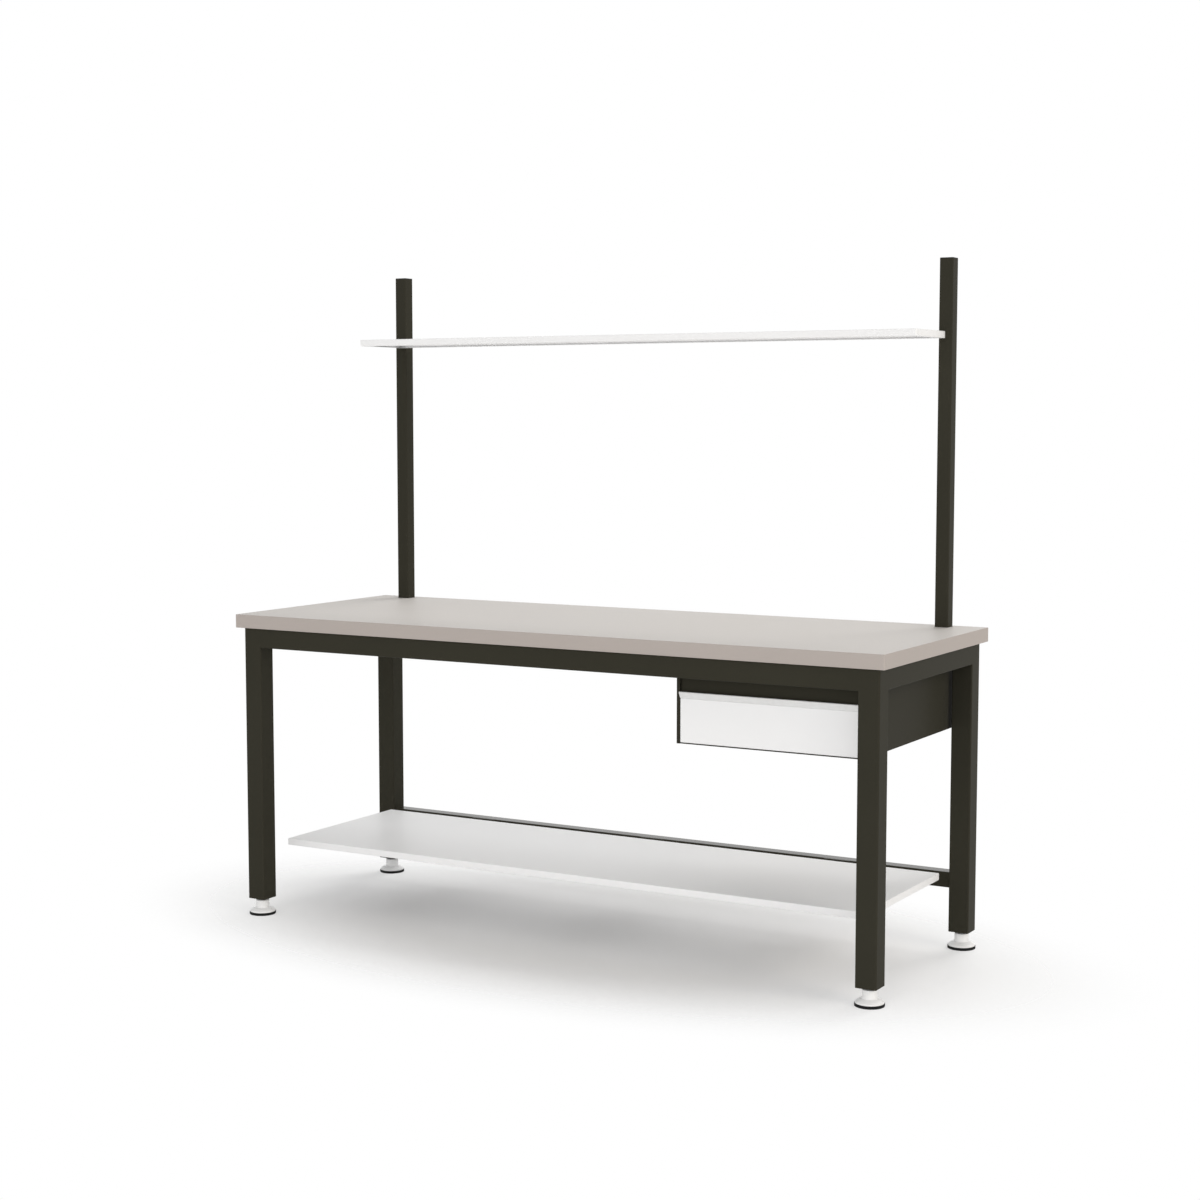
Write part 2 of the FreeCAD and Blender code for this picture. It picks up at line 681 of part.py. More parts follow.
def build_tabs():
    """Angle tabs welded inside the rails, and the wood screws through them and the housing."""
    tab = profile("tab", "YZ_Plane", [
        ("0", "0"),
        ("tab_leg", "0"),
        ("tab_leg", "-tab_thickness"),
        ("tab_thickness", "-tab_thickness"),
        ("tab_thickness", "-tab_leg"),
        ("0", "-tab_leg"),
    ], "tab_length", kept=False)
    drill(tab, "XY_Plane", "-tab_thickness", "tab_thickness", [("0", "tab_hole")],
          "wood_screw_diameter + 2 * hole_clearance")
    places = [(x, "front_tab_y", "frame_top", AHEAD) for x in front_tab_xs()]
    places += [(x, "rear_leg_front_y", "frame_top", ABOUT) for x in rear_tab_xs()]
    places.append(("-side_tab_x", "side_rail_y", "frame_top", TURN_RIGHT))
    places.append(("side_tab_x", "side_rail_y", "frame_top", TURN_LEFT))
    group("worktop_tabs", tab, places)
    screw = pan_screw("wood_screw", "wood_screw")
    group("worktop_screws", screw, [(x, y, z, AHEAD) for x, y, z in wood_screw_places()])


def build_feet():
    """Insert in each leg, and a foot with a threaded spindle, a domed base and a rubber pad."""
    insert = new_body("leg_insert", kept=False)
    outline = sketch_on(insert, "XY_Plane")
    plug = "leg_width - 2 * tube_wall - 2 * insert_clearance"
    rounded(outline, plug, plug, "max(tube_corner - tube_wall; least_corner)")
    circles(outline, [("0", "0")], "spindle_diameter + 2 * spindle_clearance")
    pad(insert, outline, "insert_height")
    corners = [(f"{end}_{side}", f"{sign} * leg_x", y)
               for end, y in ENDS.items() for side, sign in SIDES.items()]
    group("leg_inserts", insert, [(x, y, "foot_height", AHEAD) for _, x, y in corners])
    for corner, x, y in corners:
        build_foot(corner, x, y)


def build_foot(corner, x, y):
    """One levelling foot under a leg."""
    bore = "spindle_diameter / 2 + spindle_clearance"
    base_edge, boss_edge = "foot_base_diameter / 2", "foot_boss_diameter / 2"
    rim_top = "foot_pad_thickness + foot_base_rim"
    crown_edge, crown_top = f"{boss_edge} + foot_crown_step", "foot_slope_top - foot_crown_drop"
    boss_top = "foot_height - foot_boss_gap"
    pad_edge = "foot_pad_diameter / 2"
    spindle_top = "spindle_seat + spindle_length"
    rubber = new_body(f"foot_pad_{corner}")
    revolve(rubber, [
        ("0", "0"),
        (f"{pad_edge} - foot_edge_ease", "0"),
        (pad_edge, "foot_edge_ease"),
        (pad_edge, "foot_pad_thickness"),
        ("0", "foot_pad_thickness"),
    ])
    base = new_body(f"foot_base_{corner}")
    revolve(base, [
        ("0", "foot_pad_thickness"),
        (base_edge, "foot_pad_thickness"),
        (base_edge, rim_top),
        (crown_edge, crown_top),
        (boss_edge, "foot_slope_top"),
        (boss_edge, f"{boss_top} - foot_edge_ease"),
        (f"{boss_edge} - foot_edge_ease", boss_top),
        (bore, boss_top),
        (bore, "spindle_seat"),
        ("0", "spindle_seat"),
    ])
    spindle = new_body(f"foot_spindle_{corner}")
    revolve(spindle, [
        ("0", "spindle_seat"),
        ("spindle_diameter / 2", "spindle_seat"),
        ("spindle_diameter / 2", f"{spindle_top} - spindle_chamfer"),
        ("spindle_diameter / 2 - spindle_chamfer", spindle_top),
        ("0", spindle_top),
    ])
    flats = sketch_on(spindle, "XY_Plane", boss_top)
    for sign in SIDES.values():
        rectangle(flats, "spindle_diameter", "2 * spindle_diameter",
                  f"{sign} * (spindle_flats + spindle_diameter) / 2")
    pocket(spindle, flats, "foot_boss_gap")
    for body in (rubber, base, spindle):
        place(body, x, y, "0")


def build_uprights():
    """Square posts over spigots that stand in the rear rail, with caps, bolts and weld nuts."""
    bolts, nuts, caps = [], [], []
    spigot_bolts = ("spigot_bolt_edge", "spigot_reach - spigot_bolt_edge")
    for side, sign in SIDES.items():
        x = f"{sign} * upright_x"
        post = tube(f"upright_{side}", "XY_Plane", "upright_width", "upright_width", "upright_length",
                    "upright_wall", "upright_corner")
        drill(post, "XZ_Plane", "-upright_width / 2", "2 * upright_wall",
              [("0", z) for z in spigot_bolts], "bolt_hole")
        shelf_bolt = (f"{-sign} * overhead_bolt_inset", "overhead_arm_z - worktop_top")
        drill(post, "XZ_Plane", "-upright_width / 2", "upright_width", [shelf_bolt], "bolt_hole")
        place(post, x, "rear_leg_y", "worktop_top")
        spigot = tube(f"upright_spigot_{side}", "XY_Plane", "spigot_width", "spigot_width",
                      "spigot_length", "spigot_wall", "spigot_corner")
        heights = ["rail_bolt_z"] + [f"worktop_top + {z}" for z in spigot_bolts]
        drill(spigot, "XZ_Plane", "-spigot_width / 2", "2 * spigot_wall",
              [("0", f"{z} - spigot_bottom") for z in heights], "bolt_hole")
        place(spigot, x, "rear_leg_y", "spigot_bottom")
        seats = ["rear_rail_back_y", "upright_back_y", "upright_back_y"]
        bolts += [(x, y, z, TO_FRONT) for y, z in zip(seats, heights)]
        nuts += [(x, "spigot_back_y - spigot_wall", z, TO_FRONT) for z in heights]
        caps.append((x, "rear_leg_y", "worktop_top + upright_length", AHEAD))
    for x in arm_bolt_xs():
        bolts.append((x, "arm_back_y", "stretcher_z", TO_BACK))
        nuts.append((x, "stretcher_front_y + tube_wall", "stretcher_z", TO_BACK))
    group("frame_bolts", hex_bolt("bolt", "bolt_length"), bolts)
    group("frame_nuts", weld_nut(), nuts)
    cap = new_body("cap", kept=False)
    lid = sketch_on(cap, "XY_Plane")
    rounded(lid, "upright_width", "upright_width", "upright_corner")
    top = pad(cap, lid, "cap_thickness")
    ease_rim(cap, top, "cap_ease", "cap_thickness")
    plug = sketch_on(cap, "XY_Plane", "-cap_plug")
    rounded(plug, "spigot_width", "spigot_width", "spigot_corner")
    pad(cap, plug, "cap_plug")
    group("upright_caps", cap, caps)


def build_overhead_shelf():
    """Folded tray bolted between the uprights through arms that hide inside it."""
    bolt_z = "overhead_arm_z - overhead_bottom"
    shelf = tray("overhead_shelf", "overhead_length", "overhead_depth", "overhead_height",
                 "overhead_sheet", "overhead_lip", "shelf_corner", "shelf_ease")
    drill(shelf, "XZ_Plane", "-overhead_depth / 2", "2 * overhead_sheet",
          [(f"{sign} * overhead_bolt_x", bolt_z) for sign in SIDES.values()], "bolt_hole")
    place(shelf, "0", "overhead_y", "overhead_bottom")
    bolts = []
    for side, sign in SIDES.items():
        arm = new_body(f"overhead_arm_{side}")
        section = sketch_on(arm, "XZ_Plane")
        rectangle(section, "overhead_arm_width", "overhead_arm_height")
        pad(arm, section, "overhead_arm_length")
        drill(arm, "XZ_Plane", "0", "overhead_arm_bore", [("0", "0")],
              "bolt_diameter + 2 * thread_clearance")
        place(arm, f"{sign} * overhead_bolt_x", "overhead_arm_back_y", "overhead_arm_z")
        bolts.append((f"{sign} * overhead_bolt_x", "upright_back_y", "overhead_arm_z", TO_FRONT))
    group("overhead_bolts", hex_bolt("long_bolt", "long_bolt_length"), bolts)
    rise = "overhead_height - 2 * overhead_sheet - stiffener_sheet"
    stiffener = profile("overhead_stiffener", "YZ_Plane", channel(rise), "overhead_stiffener_length")
    place(stiffener, "0", "overhead_y", f"overhead_top - overhead_sheet - ({rise})")


def channel(rise):
    """Outline of a stiffening channel that is open at the top."""
    half, inner = "stiffener_width / 2", "stiffener_width / 2 - stiffener_sheet"
    return [
        (f"-({half})", "0"),
        (half, "0"),
        (half, rise),
        (inner, rise),
        (inner, "stiffener_sheet"),
        (f"-({inner})", "stiffener_sheet"),
        (f"-({inner})", rise),
        (f"-({half})", rise),
    ]


def build_lower_shelf():
    """Folded tray with stiffeners, screwed to tapered arms that are bolted to the stretcher."""
    shelf = tray("lower_shelf", "lower_length", "lower_depth", "lower_height", "lower_sheet",
                 "lower_lip", "shelf_corner", "shelf_ease")
    place(shelf, "0", "lower_y", "lower_bottom")
    screw_ys = [f"{sign} * arm_screw_pitch / 2" for sign in SIDES.values()]
    stiffener = profile("lower_stiffener", "XZ_Plane", channel("lower_height - lower_sheet"),
                        "lower_stiffener_length", kept=False)
    drill(stiffener, "XY_Plane", "0", "stiffener_sheet", [("0", y) for y in screw_ys], "screw_hole")
    group("lower_shelf_stiffeners", stiffener,
          [(x, "lower_y", "lower_bottom", AHEAD) for x in ARM_PLACES])
    arm = new_body("shelf_arm", kept=False)
    side = sketch_on(arm, "YZ_Plane", "-arm_width / 2")
    polygon(side, [
        ("0", "0"),
        ("-arm_length", "0"),
        ("-arm_length", "-arm_tip_height"),
        ("0", "-arm_root_height"),
    ])
    pad(arm, side, "arm_width")
    hollow = sketch_on(arm, "YZ_Plane", "arm_sheet - arm_width / 2")
    polygon(hollow, [
        ("0", "-arm_sheet"),
        ("arm_sheet - arm_length", "-arm_sheet"),
        ("arm_sheet - arm_length", "-arm_root_height"),
        ("0", "-arm_root_height"),
    ])
    pocket(arm, hollow, "arm_width - 2 * arm_sheet")
    drill(arm, "XY_Plane", "-arm_sheet", "arm_sheet",
          [("0", f"lower_y - arm_back_y + {y}") for y in screw_ys], "screw_hole")
    plate = sketch_on(arm, "XZ_Plane", "-arm_plate_thickness")
    bolt_z = "stretcher_z - lower_bottom"
    rectangle(plate, "arm_plate_width", "stretcher_width", "0", bolt_z)
    circles(plate, [(f"{sign} * arm_bolt_pitch / 2", bolt_z) for sign in SIDES.values()], "bolt_hole")
    pad(arm, plate, "arm_plate_thickness")
    group("shelf_arms", arm, [(x, "arm_back_y", "lower_bottom", AHEAD) for x in ARM_PLACES])
    group("lower_shelf_screws", pan_screw("screw", "screw"),
          [(x, f"lower_y + {y}", "lower_bottom - arm_sheet", AHEAD)
           for x in ARM_PLACES for y in screw_ys])


def build_housing():
    """Drawer housing: two folded sides notched for the rear rail, a back, a base and a filler."""
    for side, sign in SIDES.items():
        panel = new_body(f"drawer_side_{side}")
        plan = sketch_on(panel, "XY_Plane")
        outline = [
            ("0", "0"),
            ("housing_front_flange", "0"),
            ("housing_front_flange", "housing_sheet"),
            ("housing_sheet", "housing_sheet"),
            ("housing_sheet", "housing_depth - housing_sheet"),
            ("housing_rear_flange", "housing_depth - housing_sheet"),
            ("housing_rear_flange", "housing_depth"),
            ("0", "housing_depth"),
        ]
        polygon(plan, [(f"{-sign} * ({x})", y) for x, y in outline])
        pad(panel, plan, "housing_height")
        notch = sketch_on(panel, "XY_Plane", "housing_shoulder")
        rectangle(notch, "2 * housing_rear_flange", "2 * housing_tail",
                  f"{-sign} * housing_rear_flange / 2", "housing_depth")
        pocket(panel, notch, "housing_height - housing_shoulder")
        flange = sketch_on(panel, "XY_Plane", "housing_height - housing_sheet")
        rectangle(flange, "housing_top_flange", "housing_flange_end - housing_flange_start",
                  f"{-sign} * (housing_sheet + housing_top_flange / 2)", "housing_flange_middle")
        circles(flange, [(f"{-sign} * housing_flange_hole",
                          f"housing_flange_middle + {step} * housing_screw_pitch")
                         for step in (-1, 0, 1)], "wood_screw_diameter + 2 * hole_clearance")
        pad(panel, flange, "housing_sheet")
        place(panel, f"housing_{side}", "housing_front_y", "housing_bottom")
    back = new_body("drawer_housing_back")
    face = sketch_on(back, "XZ_Plane")
    rectangle(face, "housing_inner_width", "housing_shoulder", "0", "housing_shoulder / 2")
    pad(back, face, "housing_sheet")
    place(back, "housing_x", "housing_back_y - housing_sheet", "housing_bottom")
    length = "housing_depth - 3 * housing_sheet"
    base = profile("drawer_housing_base", "YZ_Plane", [
        ("0", "0"),
        (length, "0"),
        (length, "housing_sheet"),
        ("housing_sheet", "housing_sheet"),
        ("housing_sheet", "housing_lip"),
        ("0", "housing_lip"),
    ], "housing_inner_width")
    place(base, "housing_x", "housing_front_y + housing_sheet", "housing_bottom")
    filler = profile("drawer_filler", "YZ_Plane", [
        ("0", "0"),
        ("filler_return", "0"),
        ("filler_return", "housing_sheet"),
        ("housing_sheet", "housing_sheet"),
        ("housing_sheet", "filler_height - housing_sheet"),
        ("filler_flange", "filler_height - housing_sheet"),
        ("filler_flange", "filler_height"),
        ("0", "filler_height"),
    ], "housing_inner_width")
    drill(filler, "XY_Plane", "filler_height - housing_sheet", "housing_sheet",
          [(f"{sign} * filler_screw_x", "filler_flange / 2") for sign in SIDES.values()],
          "wood_screw_diameter + 2 * hole_clearance")
    place(filler, "housing_x", "filler_y", "filler_bottom")


def runner_outlines():
    """Sections of the three members of a runner, across from the housing's side to the drawer."""
    gauge = "runner_sheet"
    outlines = {}
    for member, start, end, half in (
        ("outer", "0", "runner_outer_depth", "runner_half"),
        ("middle", "runner_middle_start", "runner_middle_end", "middle_half"),
        ("inner", "runner_thickness", "runner_inner_start", "inner_half"),
    ):
        web = f"{start} - {gauge}" if member == "inner" else f"{start} + {gauge}"
        outlines[member] = [
            (start, f"-({half})"),
            (end, f"-({half})"),
            (end, f"{gauge} - ({half})"),
            (web, f"{gauge} - ({half})"),
            (web, f"{half} - {gauge}"),
            (end, f"{half} - {gauge}"),
            (end, half),
            (start, half),
        ]
    return outlines


def build_runners():
    """Hat packers on the housing's sides and a telescopic runner of three members on each."""
    low, high = "runner_half", "runner_half + packer_flange"
    step = "packer_depth - packer_sheet"
    packer = profile("packer", "XZ_Plane", [
        ("0", f"-({high})"),
        ("packer_sheet", f"-({high})"),
        ("packer_sheet", f"-({low})"),
        ("packer_depth", f"-({low})"),
        ("packer_depth", low),
        ("packer_sheet", low),
        ("packer_sheet", high),
        ("0", high),
        ("0", f"{low} - packer_sheet"),
        (step, f"{low} - packer_sheet"),
        (step, f"packer_sheet - ({low})"),
        ("0", f"packer_sheet - ({low})"),
    ], "runner_length", kept=False)
    turns = {"left": AHEAD, "right": ABOUT}
    group("runner_packers", packer, [
        (f"housing_x + {sign} * (housing_width / 2 - housing_sheet)", "runner_y", "runner_z", turns[side])
        for side, sign in SIDES.items()])
    for member, outline in runner_outlines().items():
        for side, sign in SIDES.items():
            body = profile(f"runner_{member}_{side}", "XZ_Plane", outline, "runner_length")
            place(body, f"housing_x + {sign} * runner_x", "runner_y", "runner_z", turns[side])


def build_drawer():
    """Folded box with end panels, a panned front with a grip along its top, and the screws between."""
    heights = ("front_screw_low", "front_screw_high")
    xs = [f"{sign} * front_screw_x" for sign in SIDES.values()]
    box = profile("drawer_box", "XZ_Plane", [
        ("-box_width / 2", "0"),
        ("box_width / 2", "0"),
        ("box_width / 2", "drawer_box_height"),
        ("box_inner_width / 2", "drawer_box_height"),
        ("box_inner_width / 2", "drawer_box_sheet"),
        ("-box_inner_width / 2", "drawer_box_sheet"),
        ("-box_inner_width / 2", "drawer_box_height"),
        ("-box_width / 2", "drawer_box_height"),
    ], "box_depth")
    place(box, "housing_x", "box_y", "box_bottom")
    holes = [(x, f"{z} - (box_end_z)") for x in xs for z in heights]
    ends = []
    for label, back_y, bores in (("box_front", "drawer_front_back_y + drawer_box_sheet", holes),
                                 ("box_back", "drawer_front_back_y + box_depth", [])):
        end = new_body(label, kept=False)
        outline = sketch_on(end, "XZ_Plane")
        rectangle(outline, "box_inner_width", "box_end_height")
        circles(outline, bores, "screw_hole")
        pad(end, outline, "drawer_box_sheet")
        place(end, "housing_x", back_y, "box_end_z")
        ends.append(end)
    bundle("drawer_box_ends", ends)
    front = tray("drawer_front", "drawer_front_width", "drawer_front_height", "drawer_front_thickness",
                 "drawer_front_sheet", "drawer_front_lip", "drawer_front_corner", "drawer_front_ease")
    middle = "(drawer_front_bottom + drawer_front_height / 2)"
    drill(front, "XY_Plane", "0", "drawer_front_sheet",
          [(x, f"{z} - {middle}") for x in xs for z in heights], "screw_hole")
    place(front, "housing_x", "drawer_front_back_y", middle, TO_FRONT)
    slope = "grip_lean / grip_height * grip_wall"
    grip = profile("drawer_grip", "YZ_Plane", [
        ("0", "0"),
        ("drawer_front_thickness", "0"),
        ("drawer_front_thickness", "grip_wall"),
        (f"grip_wall - {slope}", "grip_wall"),
        (f"grip_wall - grip_lean + {slope}", "grip_height - grip_wall"),
        ("grip_lip - grip_lean", "grip_height - grip_wall"),
        ("grip_lip - grip_lean", "grip_height"),
        ("-grip_lean", "grip_height"),
    ], "drawer_front_width")
    place(grip, "housing_x", "housing_front_y", "drawer_front_top")
    screw = doc.getObject("screw")
    group("drawer_screws", screw, [
        (f"housing_x + {x}", "drawer_front_back_y + drawer_box_sheet", z, TO_FRONT)
        for x in xs for z in heights])


def check_and_write():
    """Stop on any failed object or shape, then write one file for each piece."""
    doc.recompute()
    for item in doc.Objects:
        if {"Invalid", "Error"} & set(item.State):
            raise RuntimeError(f"{item.Label}: {item.State}")
    for piece in parts:
        if piece.Shape.isNull() or not piece.Shape.isValid():
            raise RuntimeError(f"{piece.Label}: bad shape")
    os.makedirs("parts", exist_ok=True)
    for piece in parts:
        piece.Shape.exportStep(f"parts/{piece.Label}.step")
    print(f"{len(parts)} pieces written")


build_worktop()
build_frame()
build_tabs()
build_feet()
build_uprights()
build_overhead_shelf()
build_lower_shelf()
build_housing()
build_runners()
build_drawer()
check_and_write()
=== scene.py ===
"""Looks of a workbench with an overhead shelf, a lower shelf and a drawer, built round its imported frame.

Metres, +Z up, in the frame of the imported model. Run as a script, it makes every piece and the stage.
"""
import json
import math

import bmesh
import bpy
from bpy.props import FloatProperty, FloatVectorProperty, PointerProperty
from mathutils import Matrix, Vector


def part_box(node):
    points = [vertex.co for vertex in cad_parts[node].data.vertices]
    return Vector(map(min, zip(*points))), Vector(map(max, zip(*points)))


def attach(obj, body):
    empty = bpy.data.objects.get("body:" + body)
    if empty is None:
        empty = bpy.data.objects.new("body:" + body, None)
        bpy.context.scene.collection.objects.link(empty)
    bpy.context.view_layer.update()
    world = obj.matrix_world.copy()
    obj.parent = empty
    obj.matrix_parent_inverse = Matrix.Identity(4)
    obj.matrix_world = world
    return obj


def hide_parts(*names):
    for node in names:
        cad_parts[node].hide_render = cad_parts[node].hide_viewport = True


bl_info = {
    "name": "Workbench Looks",
    "version": (1, 0, 0),
    "blender": (4, 5, 0),
    "location": "View3D > Sidebar > Workbench",
    "description": "Finishes, folded sheet, feet and fixings of a workbench with an overhead shelf",
    "category": "Object",
}

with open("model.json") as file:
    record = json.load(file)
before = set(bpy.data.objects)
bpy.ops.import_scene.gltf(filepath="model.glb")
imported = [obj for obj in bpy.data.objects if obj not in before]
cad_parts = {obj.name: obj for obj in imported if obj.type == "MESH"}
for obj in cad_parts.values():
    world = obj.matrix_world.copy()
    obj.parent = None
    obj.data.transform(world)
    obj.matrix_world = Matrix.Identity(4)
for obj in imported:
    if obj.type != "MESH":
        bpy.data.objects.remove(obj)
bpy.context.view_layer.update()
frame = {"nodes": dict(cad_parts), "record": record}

CORNERS = ("front_left", "front_right", "rear_left", "rear_right")
SIDES = {"left": -1, "right": 1}

QUARTER_TURN = math.pi / 2.0
FULL_TURN = 2.0 * math.pi
CREASE = math.radians(40.0)
FINE_CREASE = math.radians(50.0)
MERGE_DISTANCE = 1e-6
SMALLEST_EDGE = 1e-7
SMALLEST_CORNER = 0.0002

# Rounding of a sheet's cut edge, as a share of its thickness
LIP_EDGE = 0.4
HEM_EDGE = 0.45
FOLD_EDGE = 0.3
PLATE_EDGE = 0.2

# Small shapes: lengths in metres, or shares of a larger size
TRAY_FLAT_IN_BENDS = 3.0
CAP_FLAT_IN_WALLS = 3.0
CAP_LEAD = 0.001
CAP_SEAM = 0.0003
CAP_CORNER = 0.003
GRIP_ROUNDING = (0.0004, 0.0004, 0.0008, 0.002, 0.0006, 0.0010, 0.0014, 0.0024)
GRIP_STEPS = 5
BASE_BEND_IN_SHEETS = 0.8
ARM_STEPS = 6
WALL_TUCK = 0.9
PAD_TAPER = 0.0004
PAD_GROOVE = 0.0007
PAD_GROOVE_SHARES = (0.40, 0.52, 0.64)
PAD_ROUNDING = (0.0012, 0.001, 0.0006, 0.0006, 0.0012)
DOME_WIDTH = 0.010
DOME_DROP = 0.0022
BASE_ROUNDING = (0.0006, 0.003, 0.008, 0.0018, 0.0018, 0.0006, 0.0)
BASE_STEPS = 6
BASE_SIDES = 64
BORE_GAP = 0.0001
SPINDLE_SIDES = 24
SPINDLE_BEVEL = 0.001
FLATS_MARGIN = 0.0005
THREAD_STEPS = 6.0
THREAD_RUNOUT = 0.002
THREAD_BEVEL = 0.0015
FIXING_HEAD_SHARE = 0.8
FILL_STEPS = 6
FILL_GAP = 0.0001
FILL_FOOT = 0.001
FILL_HEAD = 0.0005

# Bolts: corners round each part, shares of the head's height and of the shank, and narrowed ends
FLANGE_SIDES = 24
HEX_SIDES = 6
SHANK_SIDES = 16
FLANGE_RIM = 0.10
FLANGE_SLOPE = 0.18
HEX_HEIGHT = 0.76
HEX_CHAMFER = 0.14
SHANK_ROOT = -0.05
SHANK_TIP = 0.12
HEAD_NARROWING = 0.86
TIP_NARROWING = 0.7

# Screws: body, radius and height of the head and radius of the shank for each node, and shares of those
SCREWS = {
    "worktop_screws": ("bench", 0.0050, 0.0035, 0.0025),
    "lower_shelf_screws": ("bench", 0.0045, 0.0028, 0.0025),
    "drawer_screws": ("drawer", 0.0045, 0.0028, 0.0025),
}
SCREW_SIDES = 24
SOCKET_SHARE = 0.42
SOCKET_FLOOR = 0.45
SOCKET_RIM = 0.98
SCREW_DOME = ((0.7, 0.90), (0.92, 0.62), (1.0, 0.25), (1.0, 0.0))
SCREW_STRAIGHT = 0.8
SCREW_POINT = 0.25

# Weld beads: inset from a tube's corner, points and swell of a ripple, corners of the bead
SEAM_INSET = 0.004
RIPPLE_POINTS = 4.0
RIPPLE_SWELL = 0.14
BEAD_SIDES = 8

SENSOR_WIDTH_MM = 36.0
VIEW_REACH = 100.0
FLOOR_SIDES = 96
WHITE = (1.0, 1.0, 1.0, 1.0)
SPECK_RELIEF = 0.2


# Sizes and colours that a user would change
def length(name, description, default):
    """A length in metres."""
    return FloatProperty(name=name, description=description, default=default, min=0.0, precision=4,
                         unit="LENGTH", subtype="DISTANCE")


def lengths(name, description, default, subtype="TRANSLATION"):
    """Three lengths in metres, such as a place."""
    return FloatVectorProperty(name=name, description=description, default=default, size=3,
                               unit="LENGTH", subtype=subtype)


def tint(name, description, default):
    """A linear colour."""
    return FloatVectorProperty(name=name, description=description, default=default, size=3, min=0.0, max=1.0,
                               subtype="COLOR")


def angle(name, description, degrees):
    """An angle, given in degrees."""
    return FloatProperty(name=name, description=description, default=math.radians(degrees), unit="ROTATION",
                         subtype="ANGLE")


def power(name, description, watts):
    """The power of a lamp."""
    return FloatProperty(name=name, description=description, default=watts, min=0.0, unit="POWER")


def share(name, description, default):
    """A plain number from zero to one."""
    return FloatProperty(name=name, description=description, default=default, min=0.0, max=1.0)


class BenchColours(bpy.types.PropertyGroup):
    """Colour of each finish"""
    anthracite_paint: tint("Anthracite paint", "Powder coat of the tubes and the drawer housing",
                           (0.0385, 0.0365, 0.0270))
    light_paint: tint("Light paint", "Powder coat of the shelves and the drawer", (0.925, 0.927, 0.932))
    laminate: tint("Laminate", "Top face of the worktop", (0.640, 0.612, 0.583))
    edging: tint("Edging", "Plastic edge of the worktop", (0.445, 0.399, 0.370))
    board: tint("Board", "Pale backing sheet under the worktop", (0.80, 0.80, 0.79))
    zinc: tint("Zinc", "Plating of the fixings and runners", (0.58, 0.59, 0.61))
    foot_casting: tint("Foot casting", "Bases of the levelling feet", (0.90, 0.90, 0.90))
    rubber: tint("Rubber", "Pads under the feet", (0.013, 0.013, 0.013))
    grip_aluminium: tint("Grip aluminium", "Anodised grip of the drawer", (0.80, 0.80, 0.795))
    black_plastic: tint("Black plastic", "Caps of the uprights, inserts of the legs", (0.024, 0.024, 0.022))


class BenchSizes(bpy.types.PropertyGroup):
    """Sizes of the finer shapes"""
    bend: length("Bend", "Outer radius where sheet is folded", 0.0022)
    shelf_sheet: length("Shelf sheet", "Sheet of the overhead shelf", 0.0012)
    lower_sheet: length("Lower sheet", "Sheet of the lower shelf", 0.0015)
    shelf_lip: length("Shelf lip", "Width of the shelves' turned-in lips", 0.015)
    shelf_corner: length("Shelf corner", "Corner radius of the shelves", 0.003)
    drawer_sheet: length("Drawer sheet", "Sheet of the drawer front and box", 0.0012)
    drawer_lip: length("Drawer lip", "Width of the lips behind the drawer front", 0.025)
    drawer_corner: length("Drawer corner", "Corner radius of the drawer front", 0.002)
    drawer_hem: length("Drawer hem", "Height of the hem along the top of the drawer box", 0.004)
    grip_wall: length("Grip wall", "Wall of the grip", 0.0025)
    grip_bead: length("Grip bead", "Depth of the bead along the top of the grip", 0.005)
    grip_lean: length("Grip lean", "How far the top of the grip leans forward", 0.010)
    housing_sheet: length("Housing sheet", "Sheet of the drawer housing", 0.0015)
    filler_return: length("Filler return", "Width of the fold along the bottom of the filler", 0.012)
    runner_sheet: length("Runner sheet", "Sheet of the runners", 0.0012)
    runner_bend: length("Runner bend", "Outer radius of the runners' rolled corners", 0.0024)
    arm_width: length("Arm width", "Width of an arm under the lower shelf", 0.040)
    arm_sheet: length("Arm sheet", "Sheet of an arm", 0.0025)
    arm_tip: length("Arm tip", "Height of an arm near its tip", 0.014)
    arm_nose: length("Arm nose", "Radius of an arm's rounded tip", 0.010)
    arm_bend: length("Arm bend", "Outer radius of an arm's folds", 0.0045)
    arm_plate: length("Arm plate", "Thickness of an arm's end plate", 0.004)
    plate_corner: length("Plate corner", "Corner radius of an arm's end plate", 0.006)
    edging_width: length("Edging width", "Thickness of the worktop's edging", 0.002)
    edging_corner: length("Edging corner", "Corner radius of the worktop", 0.004)
    edging_round: length("Edging rounding", "Rounding along the worktop's edge", 0.0012)
    cap_plug: length("Cap plug", "Depth of a cap's plug in its upright", 0.015)
    cap_wall: length("Cap wall", "Step from the cap's rim to its plug", 0.002)
    cap_round: length("Cap rounding", "Rounding of a cap's rim", 0.0012)
    foot_rim: length("Foot rim", "Height of a foot base's straight rim", 0.004)
    foot_slope: length("Foot slope", "Rise of a foot base's dome above its rim", 0.008)
    foot_boss: length("Foot boss", "Diameter of a foot base's boss", 0.040)
    spindle_gap: length("Spindle gap", "Bare spindle between boss and leg", 0.006)
    spindle_flats: length("Spindle flats", "Width across the spindle's spanner flats", 0.013)
    thread_pitch: length("Thread pitch", "Pitch of the spindle's thread", 0.002)
    thread_depth: length("Thread depth", "Depth of the spindle's thread", 0.0009)
    bolt_flats: length("Bolt flats", "Width across the flats of a bolt head", 0.013)
    bolt_flange: length("Bolt flange", "Diameter of a bolt's flange", 0.0165)
    bolt_head: length("Bolt head", "Height of a bolt head with its flange", 0.0053)
    bolt_shank: length("Bolt shank", "Diameter of a bolt", 0.0078)
    tube_corner: length("Tube corner", "Corner radius of the frame's tubes", 0.004)
    weld_radius: length("Weld radius", "Half width of a weld bead", 0.0022)
    weld_ripple: length("Weld ripple", "Distance between two ripples of a weld bead", 0.0032)


